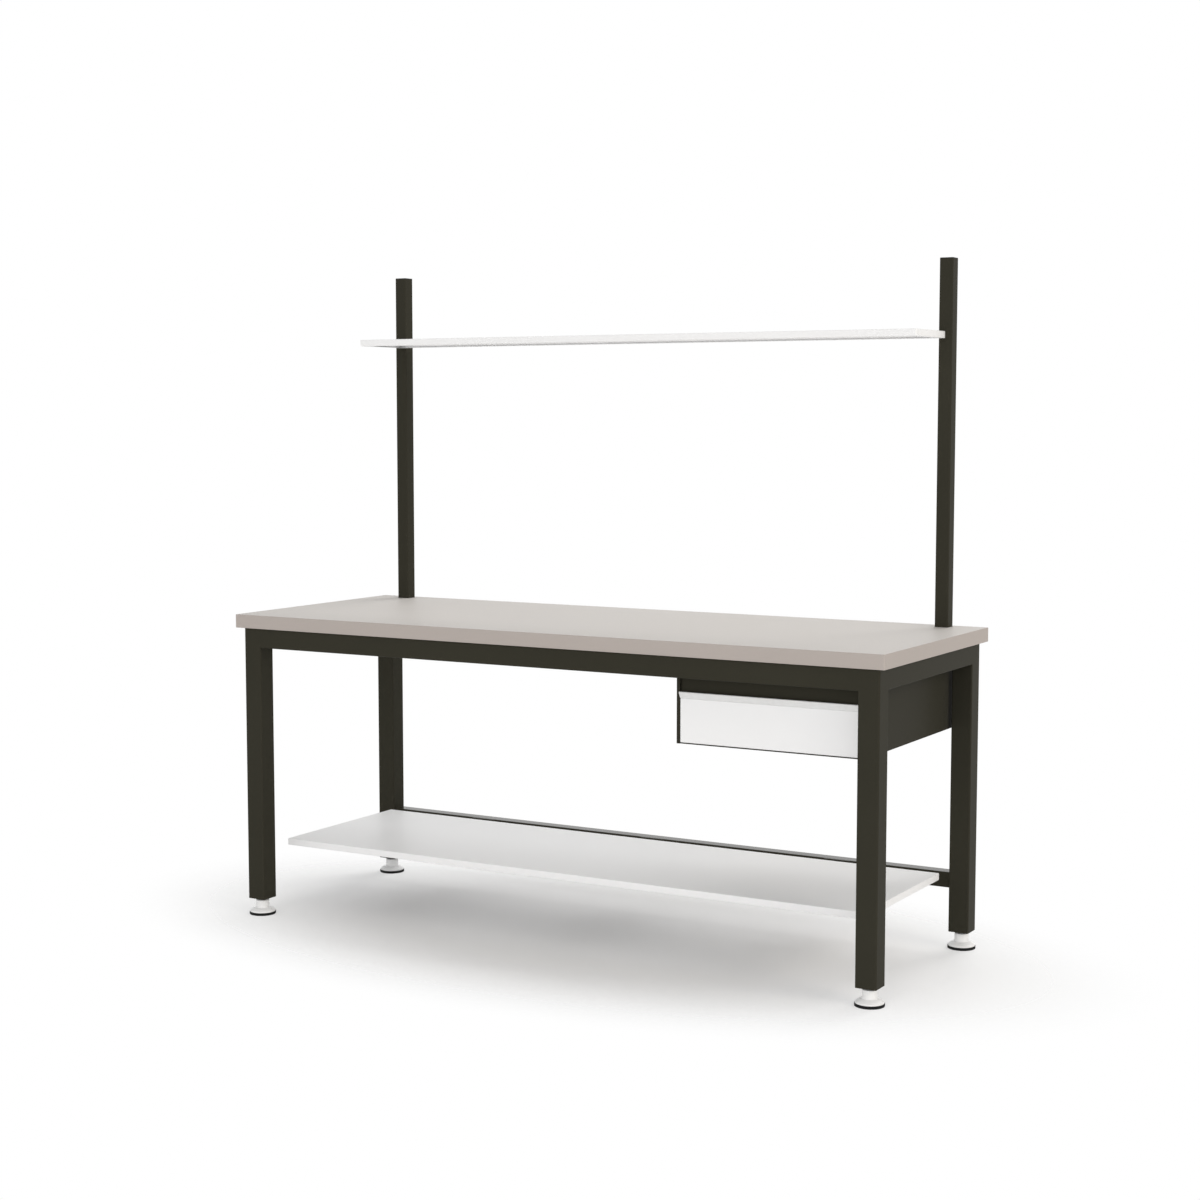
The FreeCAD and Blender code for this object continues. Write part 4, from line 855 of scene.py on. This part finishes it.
class WORKBENCH_OT_drawer(bpy.types.Operator):
    """Panned front, extruded grip and folded box of the drawer"""
    bl_idname = "workbench.drawer"
    bl_label = "Fold the drawer"

    def execute(self, context):
        """Make the pieces that ride on the drawer."""
        sizes = context.scene.bench_sizes
        self.fold_front(sizes)
        self.wrap_box(sizes)
        self.close_box(sizes)
        self.draw_grip(sizes)
        return {"FINISHED"}

    def fold_front(self, sizes):
        """Pan with a flat face and lips behind it."""
        low, high, middle, half = extent_of("drawer_front")
        section = tray_section(high.y - low.y, sizes.drawer_sheet, sizes.drawer_lip, sizes.bend)
        stand = facing_front(middle.x, high.y, middle.z)
        made = swept_frame(half.x, half.z, sizes.drawer_corner, section, stand)
        add_piece("drawer_front_pan", made, "drawer", "light_paint", "drawer_front")

    def wrap_box(self, sizes):
        """Bottom and sides folded from one sheet, with a hem along the top of each side."""
        sheet, hem, bend = sizes.drawer_sheet, sizes.drawer_hem, sizes.bend
        edge = HEM_EDGE * sheet
        low, high, middle, half = extent_of("drawer_box")
        wide, top = half.x, high.z - low.z
        right = [(wide, 0), (wide, top), (wide - 2 * sheet, top), (wide - 2 * sheet, top - hem),
                 (wide - sheet, top - hem), (wide - sheet, sheet)]
        left = [(-x, z) for x, z in reversed(right)]
        soft = (bend, sheet, edge, edge, 0, bend - sheet)
        made = drawn(soften_loop(right + left, soft + soft[::-1]), low.y, high.y,
                     lambda y, x, z: Vector((middle.x + x, y, low.z + z)))
        add_piece("drawer_box_wrap", made, "drawer", "light_paint", "drawer_box", CREASE)

    def close_box(self, sizes):
        """Hemmed panel at each end of the box."""
        sheet, hem = sizes.drawer_sheet, sizes.drawer_hem
        edge, foot = HEM_EDGE * sheet, PLATE_EDGE * sheet
        low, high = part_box("drawer_box_ends")
        top = high.z - low.z
        panel = [(0, 0), (0, top), (2 * sheet, top), (2 * sheet, top - hem), (sheet, top - hem), (sheet, 0)]
        loop = soften_loop(panel, (foot, sheet, edge, edge, 0, foot))
        ends = []
        for outer, inward in ((low.y, 1), (high.y, -1)):
            made = drawn(loop, low.x, high.x, lambda x, y, z: Vector((x, outer + inward * y, low.z + z)))
            ends.append(plain_mesh("end", made))
        add_piece("drawer_box_end_pair", joined(ends), "drawer", "light_paint", "drawer_box_ends", CREASE)

    def draw_grip(self, sizes):
        """Extruded grip that leans forward, with a round bead along its top."""
        low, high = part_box("drawer_grip")
        wall, bead, lean = sizes.grip_wall, sizes.grip_bead, sizes.grip_lean
        rise, depth = high.z - low.z, high.y - low.y - lean
        slope = lean / rise * wall
        points = [(0, 0), (depth, 0), (depth, wall), (wall - slope, wall), (wall - lean + slope, rise - wall),
                  (bead - lean, rise - wall), (bead - lean, rise), (-lean, rise)]
        made = drawn(soften_loop(points, GRIP_ROUNDING, GRIP_STEPS), low.x, high.x,
                     lambda x, y, z: Vector((x, low.y + lean + y, low.z + z)))
        add_piece("drawer_grip_rail", made, "drawer", "grip_aluminium", "drawer_grip")


class WORKBENCH_OT_housing(bpy.types.Operator):
    """Folded filler over the drawer and folded base under it"""
    bl_idname = "workbench.housing"
    bl_label = "Fold the housing"

    def execute(self, context):
        """Draw both sections across the housing."""
        sizes = context.scene.bench_sizes
        sheet, bend, fold = sizes.housing_sheet, sizes.bend, sizes.filler_return
        edge, inner = FOLD_EDGE * sheet, bend - sheet
        deep, rise = self.section_size("drawer_filler")
        filler = [(0, 0), (fold, 0), (fold, sheet), (sheet, sheet), (sheet, rise - sheet),
                  (deep, rise - sheet), (deep, rise), (0, rise)]
        soft = (bend, edge, edge, inner, inner, edge, edge, bend)
        self.draw_fold("drawer_filler", soften_loop(filler, soft))
        deep, rise = self.section_size("drawer_housing_base")
        base = [(0, 0), (deep, 0), (deep, sheet), (sheet, sheet), (sheet, rise), (0, rise)]
        self.draw_fold("drawer_housing_base", soften_loop(base, [BASE_BEND_IN_SHEETS * sheet] + 5 * [edge]))
        return {"FINISHED"}

    def section_size(self, node):
        """Depth and height of a node's box."""
        low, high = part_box(node)
        return high.y - low.y, high.z - low.z

    def draw_fold(self, node, loop):
        """One folded sheet drawn along its node's box."""
        low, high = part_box(node)
        made = drawn(loop, low.x, high.x, lambda x, y, z: Vector((x, low.y + y, low.z + z)))
        add_piece(f"{node}_fold", made, "bench", "anthracite_paint", node, CREASE)


class WORKBENCH_OT_runners(bpy.types.Operator):
    """Rolled members of the telescopic runners"""
    bl_idname = "workbench.runners"
    bl_label = "Roll the runners"

    def execute(self, context):
        """Roll the three members of both runners."""
        sizes = context.scene.bench_sizes
        for side, sign in SIDES.items():
            self.roll_member(sizes, f"runner_outer_{side}", "bench", -sign)
            self.roll_member(sizes, f"runner_middle_{side}", f"runner_middle_{side}", -sign)
            self.roll_member(sizes, f"runner_inner_{side}", "drawer", sign)
        return {"FINISHED"}

    def roll_member(self, sizes, node, body, out):
        """One channel whose lips point along or against the X axis."""
        sheet, bend = sizes.runner_sheet, sizes.runner_bend
        edge, inner = FOLD_EDGE * sheet, bend - sheet
        low, high, middle, half = extent_of(node)
        web = low.x if out > 0 else high.x
        deep, tall = high.x - low.x, half.z
        channel = [(0, -tall), (deep, -tall), (deep, sheet - tall), (sheet, sheet - tall),
                   (sheet, tall - sheet), (deep, tall - sheet), (deep, tall), (0, tall)]
        loop = soften_loop(channel, (bend, edge, edge, inner, inner, edge, edge, bend))
        made = drawn(loop, low.y, high.y, lambda y, x, z: Vector((web + out * x, y, middle.z + z)))
        add_piece(f"{node}_roll", made, body, "zinc", node, CREASE)


class WORKBENCH_OT_arms(bpy.types.Operator):
    """Folded arms with rounded tips under the lower shelf"""
    bl_idname = "workbench.arms"
    bl_label = "Fold the arms"

    def execute(self, context):
        """Fold the arms as one piece."""
        sizes = context.scene.bench_sizes
        parts = []
        for points in solids_of("shelf_arms"):
            low, high = box_of(points)
            for made in (self.fold_arm, self.close_tip, self.cut_plate):
                parts.append(plain_mesh("arm", made(sizes, low, high)))
        add_piece("shelf_arms_fold", joined(parts), "bench", "anthracite_paint", "shelf_arms", CREASE)
        return {"FINISHED"}

    def fold_arm(self, sizes, low, high):
        """Channel, open below, that grows from its rounded tip to its end plate."""
        sheet, bend, nose = sizes.arm_sheet, sizes.arm_bend, sizes.arm_nose
        edge, inner = FOLD_EDGE * sheet, bend - sheet
        top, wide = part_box("lower_shelf")[0].z, sizes.arm_width / 2.0
        middle = (low.x + high.x) / 2.0
        root, reach = top - low.z, high.y - sizes.arm_plate - low.y
        turns = [QUARTER_TURN * step / ARM_STEPS for step in range(ARM_STEPS + 1)]
        rings = []
        for along in [nose * (1.0 - math.cos(turn)) for turn in turns] + [reach]:
            cut = nose - math.sqrt(nose ** 2 - max(nose - along, 0.0) ** 2)
            deep = sizes.arm_tip + (root - sizes.arm_tip) * along / reach - cut
            points = [(-wide, -deep), (-wide, 0), (wide, 0), (wide, -deep), (wide - sheet, -deep),
                      (wide - sheet, -sheet), (sheet - wide, -sheet), (sheet - wide, -deep)]
            loop = soften_loop(points, (edge, bend, bend, edge, edge, inner, inner, edge))
            rings.append([Vector((middle + x, low.y + along, top + z)) for x, z in loop])
        return skin(rings)

    def close_tip(self, sizes, low, high):
        """Wall that closes the tip of an arm between its sides."""
        sheet, nose = sizes.arm_sheet, sizes.arm_nose
        tuck = WALL_TUCK * sheet
        top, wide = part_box("lower_shelf")[0].z, sizes.arm_width / 2.0 - tuck
        middle = (low.x + high.x) / 2.0
        foot = [sizes.arm_tip - nose + math.sqrt(nose ** 2 - (nose - along) ** 2) for along in (0.0, sheet)]
        wall = [(0, -tuck), (sheet, -tuck), (sheet, -foot[1]), (0, -foot[0])]
        return drawn(soften_loop(wall, 4 * [PLATE_EDGE * sheet]), middle - wide, middle + wide,
                     lambda x, y, z: Vector((x, low.y + y, top + z)))

    def cut_plate(self, sizes, low, high):
        """End plate with rounded corners, flat against the stretcher."""
        corner, thick = sizes.plate_corner, sizes.arm_plate
        edge = PLATE_EDGE * thick
        half = (high - low) / 2.0
        rise = (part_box("rear_stretcher")[1].z - low.z) / 2.0
        section = soften([(corner, 0), (0, 0), (0, thick), (corner, thick)], (edge, edge))
        return swept_frame(half.x, rise, corner, section, facing_front(low.x + half.x, high.y, low.z + rise))


class WORKBENCH_OT_feet(bpy.types.Operator):
    """Levelling feet: rubber pad, domed base with a boss, and threaded spindle"""
    bl_idname = "workbench.feet"
    bl_label = "Turn the feet"

    def execute(self, context):
        """Turn the three pieces of each foot."""
        sizes = context.scene.bench_sizes
        for corner in CORNERS:
            self.turn_pad(corner)
            self.turn_base(sizes, corner)
            self.turn_spindle(sizes, corner)
        return {"FINISHED"}

    def turn_pad(self, corner):
        """Rubber pad with a shallow groove round its side."""
        node = f"foot_pad_{corner}"
        low, high, middle, half = extent_of(node)
        top, radius = high.z - low.z, half.x
        below, groove, above = (part * top for part in PAD_GROOVE_SHARES)
        line = soften([(0, 0), (radius - PAD_TAPER, 0), (radius, below), (radius - PAD_GROOVE, groove),
                       (radius, above), (radius, top), (0, top)], PAD_ROUNDING)
        made = lathe(line, Vector((middle.x, middle.y, low.z)))
        add_piece(f"pad_{corner}", made, f"foot_{corner}", "rubber", node, CREASE)

    def turn_base(self, sizes, corner):
        """Base with a straight rim, a soft dome and a boss that is bored for the spindle."""
        node = f"foot_base_{corner}"
        low, high, middle, half = extent_of(node)
        top, radius, boss = high.z - low.z, half.x, sizes.foot_boss / 2.0
        spindle_low, spindle_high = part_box(f"foot_spindle_{corner}")
        bore = (spindle_high.x - spindle_low.x) / 2.0 + BORE_GAP
        seat = spindle_low.z - low.z
        shoulder = sizes.foot_rim + sizes.foot_slope
        line = soften([(0, 0), (radius, 0), (radius, sizes.foot_rim),
                       (radius - DOME_WIDTH, shoulder - DOME_DROP), (boss, shoulder), (boss, top),
                       (bore, top), (bore, seat), (0, seat)], BASE_ROUNDING, BASE_STEPS)
        made = lathe(line, Vector((middle.x, middle.y, low.z)), BASE_SIDES)
        add_piece(f"base_{corner}", made, f"foot_{corner}", "foot_casting", node, CREASE)

    def turn_spindle(self, sizes, corner):
        """Plain foot, spanner flats above the boss, then a cut thread with a bevelled end."""
        node = f"foot_spindle_{corner}"
        low, high, middle, half = extent_of(node)
        radius, pitch, depth = half.x, sizes.thread_pitch, sizes.thread_depth
        boss_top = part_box(f"foot_base_{corner}")[1].z
        thread_low = boss_top + sizes.spindle_gap

        def ring(height, radius_at):
            """One ring of the spindle."""
            return turned_ring(Vector((middle.x, middle.y, height)), radius_at, SPINDLE_SIDES)

        def plain(height, reach):
            """One round ring."""
            return ring(height, lambda turn: reach)

        def flat(height):
            """One round ring that is cut flat on two sides."""
            limit = sizes.spindle_flats / 2.0
            return [Vector((min(max(point.x, middle.x - limit), middle.x + limit), point.y, point.z))
                    for point in plain(height, radius)]

        def thread(height):
            """One ring of the thread, whose groove climbs with the turn."""
            def radius_at(turn):
                """Radius at a turn, which falls and climbs evenly between crest and groove."""
                phase = (height / pitch - turn / FULL_TURN) % 1.0
                return radius - depth * abs(2.0 * phase - 1.0)
            return ring(height, radius_at)

        flats_low, flats_high = boss_top + FLATS_MARGIN, thread_low - FLATS_MARGIN
        rings = [plain(low.z, radius - SPINDLE_BEVEL), plain(low.z + SPINDLE_BEVEL, radius),
                 plain(flats_low, radius), flat(flats_low), flat(flats_high), plain(flats_high, radius)]
        rows = int((high.z - thread_low - THREAD_RUNOUT) / (pitch / THREAD_STEPS))
        rings += [thread(thread_low + row * pitch / THREAD_STEPS) for row in range(rows)]
        rings += [plain(high.z - THREAD_BEVEL, radius - depth), plain(high.z, radius - depth - THREAD_BEVEL)]
        add_piece(f"spindle_{corner}", skin(rings), f"foot_{corner}", "zinc", node, FINE_CREASE)


class WORKBENCH_OT_bolts(bpy.types.Operator):
    """Flanged hexagon bolts of the frame and the overhead shelf"""
    bl_idname = "workbench.bolts"
    bl_label = "Set the bolts"

    def execute(self, context):
        """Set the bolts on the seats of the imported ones."""
        sizes = context.scene.bench_sizes
        tree = bolt_tree()
        for node in ("frame_bolts", "overhead_bolts"):
            places = fixing_places(node)
            mesh = run_tree(point_mesh(places), tree, {
                "Across Flats": sizes.bolt_flats, "Flange Diameter": sizes.bolt_flange,
                "Head Height": sizes.bolt_head, "Shank Diameter": sizes.bolt_shank,
                "Shank Length": places[0][2], "Finish": finish("zinc")})
            add_piece(f"{node}_set", mesh, "bench", "zinc", node)
        return {"FINISHED"}


class WORKBENCH_OT_screws(bpy.types.Operator):
    """Pan-head screws of the worktop, the lower shelf and the drawer front"""
    bl_idname = "workbench.screws"
    bl_label = "Set the screws"

    def execute(self, context):
        """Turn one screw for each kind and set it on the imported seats."""
        tree = screw_tree()
        for node, (body, head_radius, head_height, shank_radius) in SCREWS.items():
            places = fixing_places(node)
            pattern = self.turn_screw(head_radius, head_height, shank_radius, places[0][2])
            mesh = run_tree(point_mesh(places), tree, {"Pattern": pattern, "Finish": finish("zinc")})
            bpy.data.objects.remove(pattern)
            add_piece(f"{node}_set", mesh, body, "zinc", node, CREASE)
        return {"FINISHED"}

    def turn_screw(self, head, height, shank, reach):
        """One screw with a domed head and a six-sided socket, seat at the origin, tip along +Z."""
        socket, floor = SOCKET_SHARE * head, -SOCKET_FLOOR * height
        line = [(0.0, floor), (socket, floor), (socket, -SOCKET_RIM * height)]
        line += [(wide * head, -tall * height) for wide, tall in SCREW_DOME]
        line += [(shank, 0.0), (shank, SCREW_STRAIGHT * reach), (SCREW_POINT * shank, reach), (0.0, reach)]
        rings = []
        for radius, along in line:
            def radius_at(turn):
                """Radius of the row, which follows a hexagon in the socket."""
                if radius != socket:
                    return radius
                return radius * math.cos(math.pi / 6.0) / math.cos(turn % (math.pi / 3.0) - math.pi / 6.0)
            rings.append(turned_ring(Vector((0.0, 0.0, along)), radius_at, SCREW_SIDES))
        pattern = bpy.data.objects.new("screw_pattern", plain_mesh("screw_pattern", skin(rings)))
        bpy.context.scene.collection.objects.link(pattern)
        return pattern


class WORKBENCH_OT_welds(bpy.types.Operator):
    """Weld beads where the rails, the stretcher and the shelf's arms are joined"""
    bl_idname = "workbench.welds"
    bl_label = "Weld the frame"

    def execute(self, context):
        """Lay a bead along each seam, and add the welds that are ground flush."""
        sizes = context.scene.bench_sizes
        seams = self.long_seams(SEAM_INSET) + self.side_seams(SEAM_INSET) + self.arm_seams(sizes, SEAM_INSET)
        lines = bpy.data.meshes.new("weld_lines")
        lines.from_pydata([point for seam in seams for point in seam],
                          [(2 * index, 2 * index + 1) for index in range(len(seams))], [])
        beads = run_tree(lines, weld_tree(), {"Radius": sizes.weld_radius, "Ripple": sizes.weld_ripple,
                                              "Finish": finish("anthracite_paint")})
        whole = joined([beads] + self.ground_fills(sizes.tube_corner))
        add_piece("frame_welds", whole, "bench", "anthracite_paint", crease=FINE_CREASE)
        return {"FINISHED"}

    def long_seams(self, edge):
        """Inner seams at both ends of the front rail, the rear rail and the stretcher."""
        seams = []
        for node, kept in (("front_rail", ("low", "back")), ("rear_rail", ("low", "front")),
                           ("rear_stretcher", ("low", "front", "back", "top"))):
            low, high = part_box(node)
            lines = {"low": ((low.y + edge, low.z), (high.y - edge, low.z)),
                     "top": ((low.y + edge, high.z), (high.y - edge, high.z)),
                     "front": ((low.y, low.z + edge), (low.y, high.z - edge)),
                     "back": ((high.y, low.z + edge), (high.y, high.z - edge))}
            for x in (low.x, high.x):
                seams += [[Vector((x, *point)) for point in lines[side]] for side in kept]
        return seams

    def side_seams(self, edge):
        """Lower and inner seams at both ends of the side rails."""
        seams = []
        for side, sign in SIDES.items():
            low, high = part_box(f"side_rail_{side}")
            inner = low.x if sign > 0 else high.x
            for y in (low.y, high.y):
                seams.append([Vector((low.x + edge, y, low.z)), Vector((high.x - edge, y, low.z))])
                seams.append([Vector((inner, y, low.z + edge)), Vector((inner, y, high.z - edge))])
        return seams

    def arm_seams(self, sizes, edge):
        """Upright seams between the shelf's arms and their end plates."""
        seams = []
        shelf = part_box("lower_shelf")[0].z
        for points in solids_of("shelf_arms"):
            low, high = box_of(points)
            back = high.y - sizes.arm_plate
            for out in (-1, 1):
                x = (low.x + high.x) / 2.0 + out * sizes.arm_width / 2.0
                seams.append([Vector((x, back, low.z + edge)), Vector((x, back, shelf - edge))])
        return seams

    def ground_fills(self, radius):
        """Welds ground flush with the outer faces, which fill the rounded corners of the legs."""
        joints = []
        for node, sign in (("front_rail", -1), ("rear_rail", 1)):
            low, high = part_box(node)
            y = high.y if sign > 0 else low.y
            out = Vector((0, sign, 0))
            joints += [(Vector((low.x, y, 0)), Vector((-1, 0, 0)), out, low.z, high.z),
                       (Vector((high.x, y, 0)), Vector((1, 0, 0)), out, low.z, high.z)]
        for side, sign in SIDES.items():
            low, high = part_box(f"side_rail_{side}")
            x = high.x if sign > 0 else low.x
            out = Vector((sign, 0, 0))
            joints += [(Vector((x, low.y, 0)), Vector((0, -1, 0)), out, low.z, high.z),
                       (Vector((x, high.y, 0)), Vector((0, 1, 0)), out, low.z, high.z)]
        turns = [QUARTER_TURN * step / FILL_STEPS for step in range(FILL_STEPS + 1)]
        fills = []
        for corner, leg, out, bottom, top in joints:
            middle = corner + radius * (leg - out)
            arc = [middle + (radius - FILL_GAP) * (math.cos(turn) * out - math.sin(turn) * leg)
                   for turn in turns]
            section = [corner, corner + radius * leg, *arc[1:-1], corner - radius * out]
            rings = [[point + Vector((0, 0, z)) for point in section]
                     for z in (bottom + FILL_FOOT, top - FILL_HEAD)]
            fills.append(plain_mesh("fill", skin(rings)))
        return fills


def seen_ray(tree):
    """One for what the camera sees, straight or in a reflection, and zero for light."""
    path = add(tree, "ShaderNodeLightPath").outputs
    seen = calc(tree, "MAXIMUM", path["Is Camera Ray"], path["Is Glossy Ray"])
    return calc(tree, "MAXIMUM", seen, path["Is Transmission Ray"])


class WORKBENCH_OT_stage(bpy.types.Operator):
    """Pale floor, light from all around, three soft lamps and the camera"""
    bl_idname = "workbench.stage"
    bl_label = "Set the stage"

    def execute(self, context):
        """Build the floor, the world, the lamps and the camera."""
        scene = context.scene
        stage = scene.bench_stage
        self.lay_floor(scene, stage)
        self.light_world(scene, stage)
        for name, watts, place, size, colour in (
                ("key", stage.key, stage.key_place, stage.key_size, stage.key_tint),
                ("fill", stage.fill, stage.fill_place, stage.lamp_size, stage.lamp_tint),
                ("back", stage.back, stage.back_place, stage.lamp_size, stage.lamp_tint)):
            lamp = self.hang_lamp(name, watts, size, colour)
            lamp.location = place
            lamp.rotation_euler = (stage.lamp_aim - lamp.location).to_track_quat("-Z", "Y").to_euler()
            scene.collection.objects.link(lamp)
        self.set_camera(scene, stage)
        scene.view_settings.view_transform = "Standard"
        return {"FINISHED"}

    def lay_floor(self, scene, stage):
        """Round floor that fades out to the white surround."""
        made = bmesh.new()
        bmesh.ops.create_circle(made, cap_ends=True, segments=FLOOR_SIDES, radius=stage.floor_radius)
        floor = bpy.data.objects.new("floor", plain_mesh("floor", made))
        scene.collection.objects.link(floor)
        material = bpy.data.materials.new("floor")
        material.use_nodes = True
        tree = material.node_tree
        tree.nodes.clear()
        place = add(tree, "ShaderNodeTexCoord").outputs["Object"]
        ratio = add(tree, "ShaderNodeVectorMath", {0: place, 1: stage.floor_oval}, operation="DIVIDE")
        far = add(tree, "ShaderNodeVectorMath", {0: ratio.outputs[0]}, operation="LENGTH").outputs["Value"]
        fade = add(tree, "ShaderNodeMapRange", {"Value": far, "From Min": stage.floor_fade},
                   interpolation_type="SMOOTHSTEP").outputs[0]
        below = add(tree, "ShaderNodeNewGeometry").outputs["Backfacing"]
        unseen = calc(tree, "MULTIPLY", calc(tree, "MAXIMUM", fade, below), seen_ray(tree))
        matt = add(tree, "ShaderNodeBsdfDiffuse", {"Color": (*stage.floor_tint, 1.0)})
        clear = add(tree, "ShaderNodeBsdfTransparent")
        both = add(tree, "ShaderNodeMixShader", {0: unseen, 1: matt.outputs[0], 2: clear.outputs[0]})
        add(tree, "ShaderNodeOutputMaterial", {"Surface": both.outputs[0]})
        floor.data.materials.append(material)

    def light_world(self, scene, stage):
        """Even light from all around, white to the camera and in reflections."""
        world = bpy.data.worlds.new("surround")
        world.use_nodes = True
        tree = world.node_tree
        tree.nodes.clear()
        strength = add(tree, "ShaderNodeMapRange", {"Value": seen_ray(tree), "To Min": stage.sky,
                                                    "To Max": 1.0})
        light = add(tree, "ShaderNodeBackground", {"Color": WHITE, "Strength": strength.outputs[0]})
        add(tree, "ShaderNodeOutputWorld", {"Surface": light.outputs[0]})
        scene.world = world

    def hang_lamp(self, name, watts, size, colour):
        """Large soft lamp that reflections don't show."""
        light = bpy.data.lights.new(name, "AREA")
        light.shape = "DISK"
        light.size = size
        light.energy = watts
        light.color = colour
        lamp = bpy.data.objects.new(name, light)
        lamp.visible_glossy = False
        return lamp

    def set_camera(self, scene, stage):
        """Camera at the place and angle of the photo."""
        view = bpy.data.cameras.new("camera")
        view.lens = stage.camera_lens
        view.sensor_width = SENSOR_WIDTH_MM
        view.clip_end = VIEW_REACH
        camera = bpy.data.objects.new("camera", view)
        camera.location = stage.camera_place
        camera.rotation_euler = (QUARTER_TURN - stage.camera_pitch, 0.0, stage.camera_turn)
        scene.collection.objects.link(camera)
        scene.camera = camera


STEPS = (WORKBENCH_OT_frame, WORKBENCH_OT_worktop, WORKBENCH_OT_shelves, WORKBENCH_OT_caps,
         WORKBENCH_OT_drawer, WORKBENCH_OT_housing, WORKBENCH_OT_runners, WORKBENCH_OT_arms,
         WORKBENCH_OT_feet, WORKBENCH_OT_bolts, WORKBENCH_OT_screws, WORKBENCH_OT_welds,
         WORKBENCH_OT_stage)


class WORKBENCH_PT_steps(bpy.types.Panel):
    """Steps that build the workbench's looks"""
    bl_label = "Workbench"
    bl_idname = "WORKBENCH_PT_steps"
    bl_space_type = "VIEW_3D"
    bl_region_type = "UI"
    bl_category = "Workbench"

    def draw(self, context):
        """List the steps, then the sizes, colours and stage values."""
        for step in STEPS:
            self.layout.operator(step.bl_idname)
        for group in (context.scene.bench_sizes, context.scene.bench_colours, context.scene.bench_stage):
            box = self.layout.box()
            for key in type(group).__annotations__:
                box.prop(group, key)


CLASSES = (BenchColours, BenchSizes, BenchStage, *STEPS, WORKBENCH_PT_steps)


def register():
    """Register the classes and the scene's values."""
    for kind in CLASSES:
        bpy.utils.register_class(kind)
    bpy.types.Scene.bench_colours = PointerProperty(type=BenchColours)
    bpy.types.Scene.bench_sizes = PointerProperty(type=BenchSizes)
    bpy.types.Scene.bench_stage = PointerProperty(type=BenchStage)


def unregister():
    """Take the scene's values and the classes away again."""
    del bpy.types.Scene.bench_stage
    del bpy.types.Scene.bench_sizes
    del bpy.types.Scene.bench_colours
    for kind in reversed(CLASSES):
        bpy.utils.unregister_class(kind)


def main():
    """Build every piece and the stage."""
    register()
    for step in STEPS:
        group, name = step.bl_idname.split(".")
        getattr(getattr(bpy.ops, group), name)()


if __name__ == "__main__":
    main()
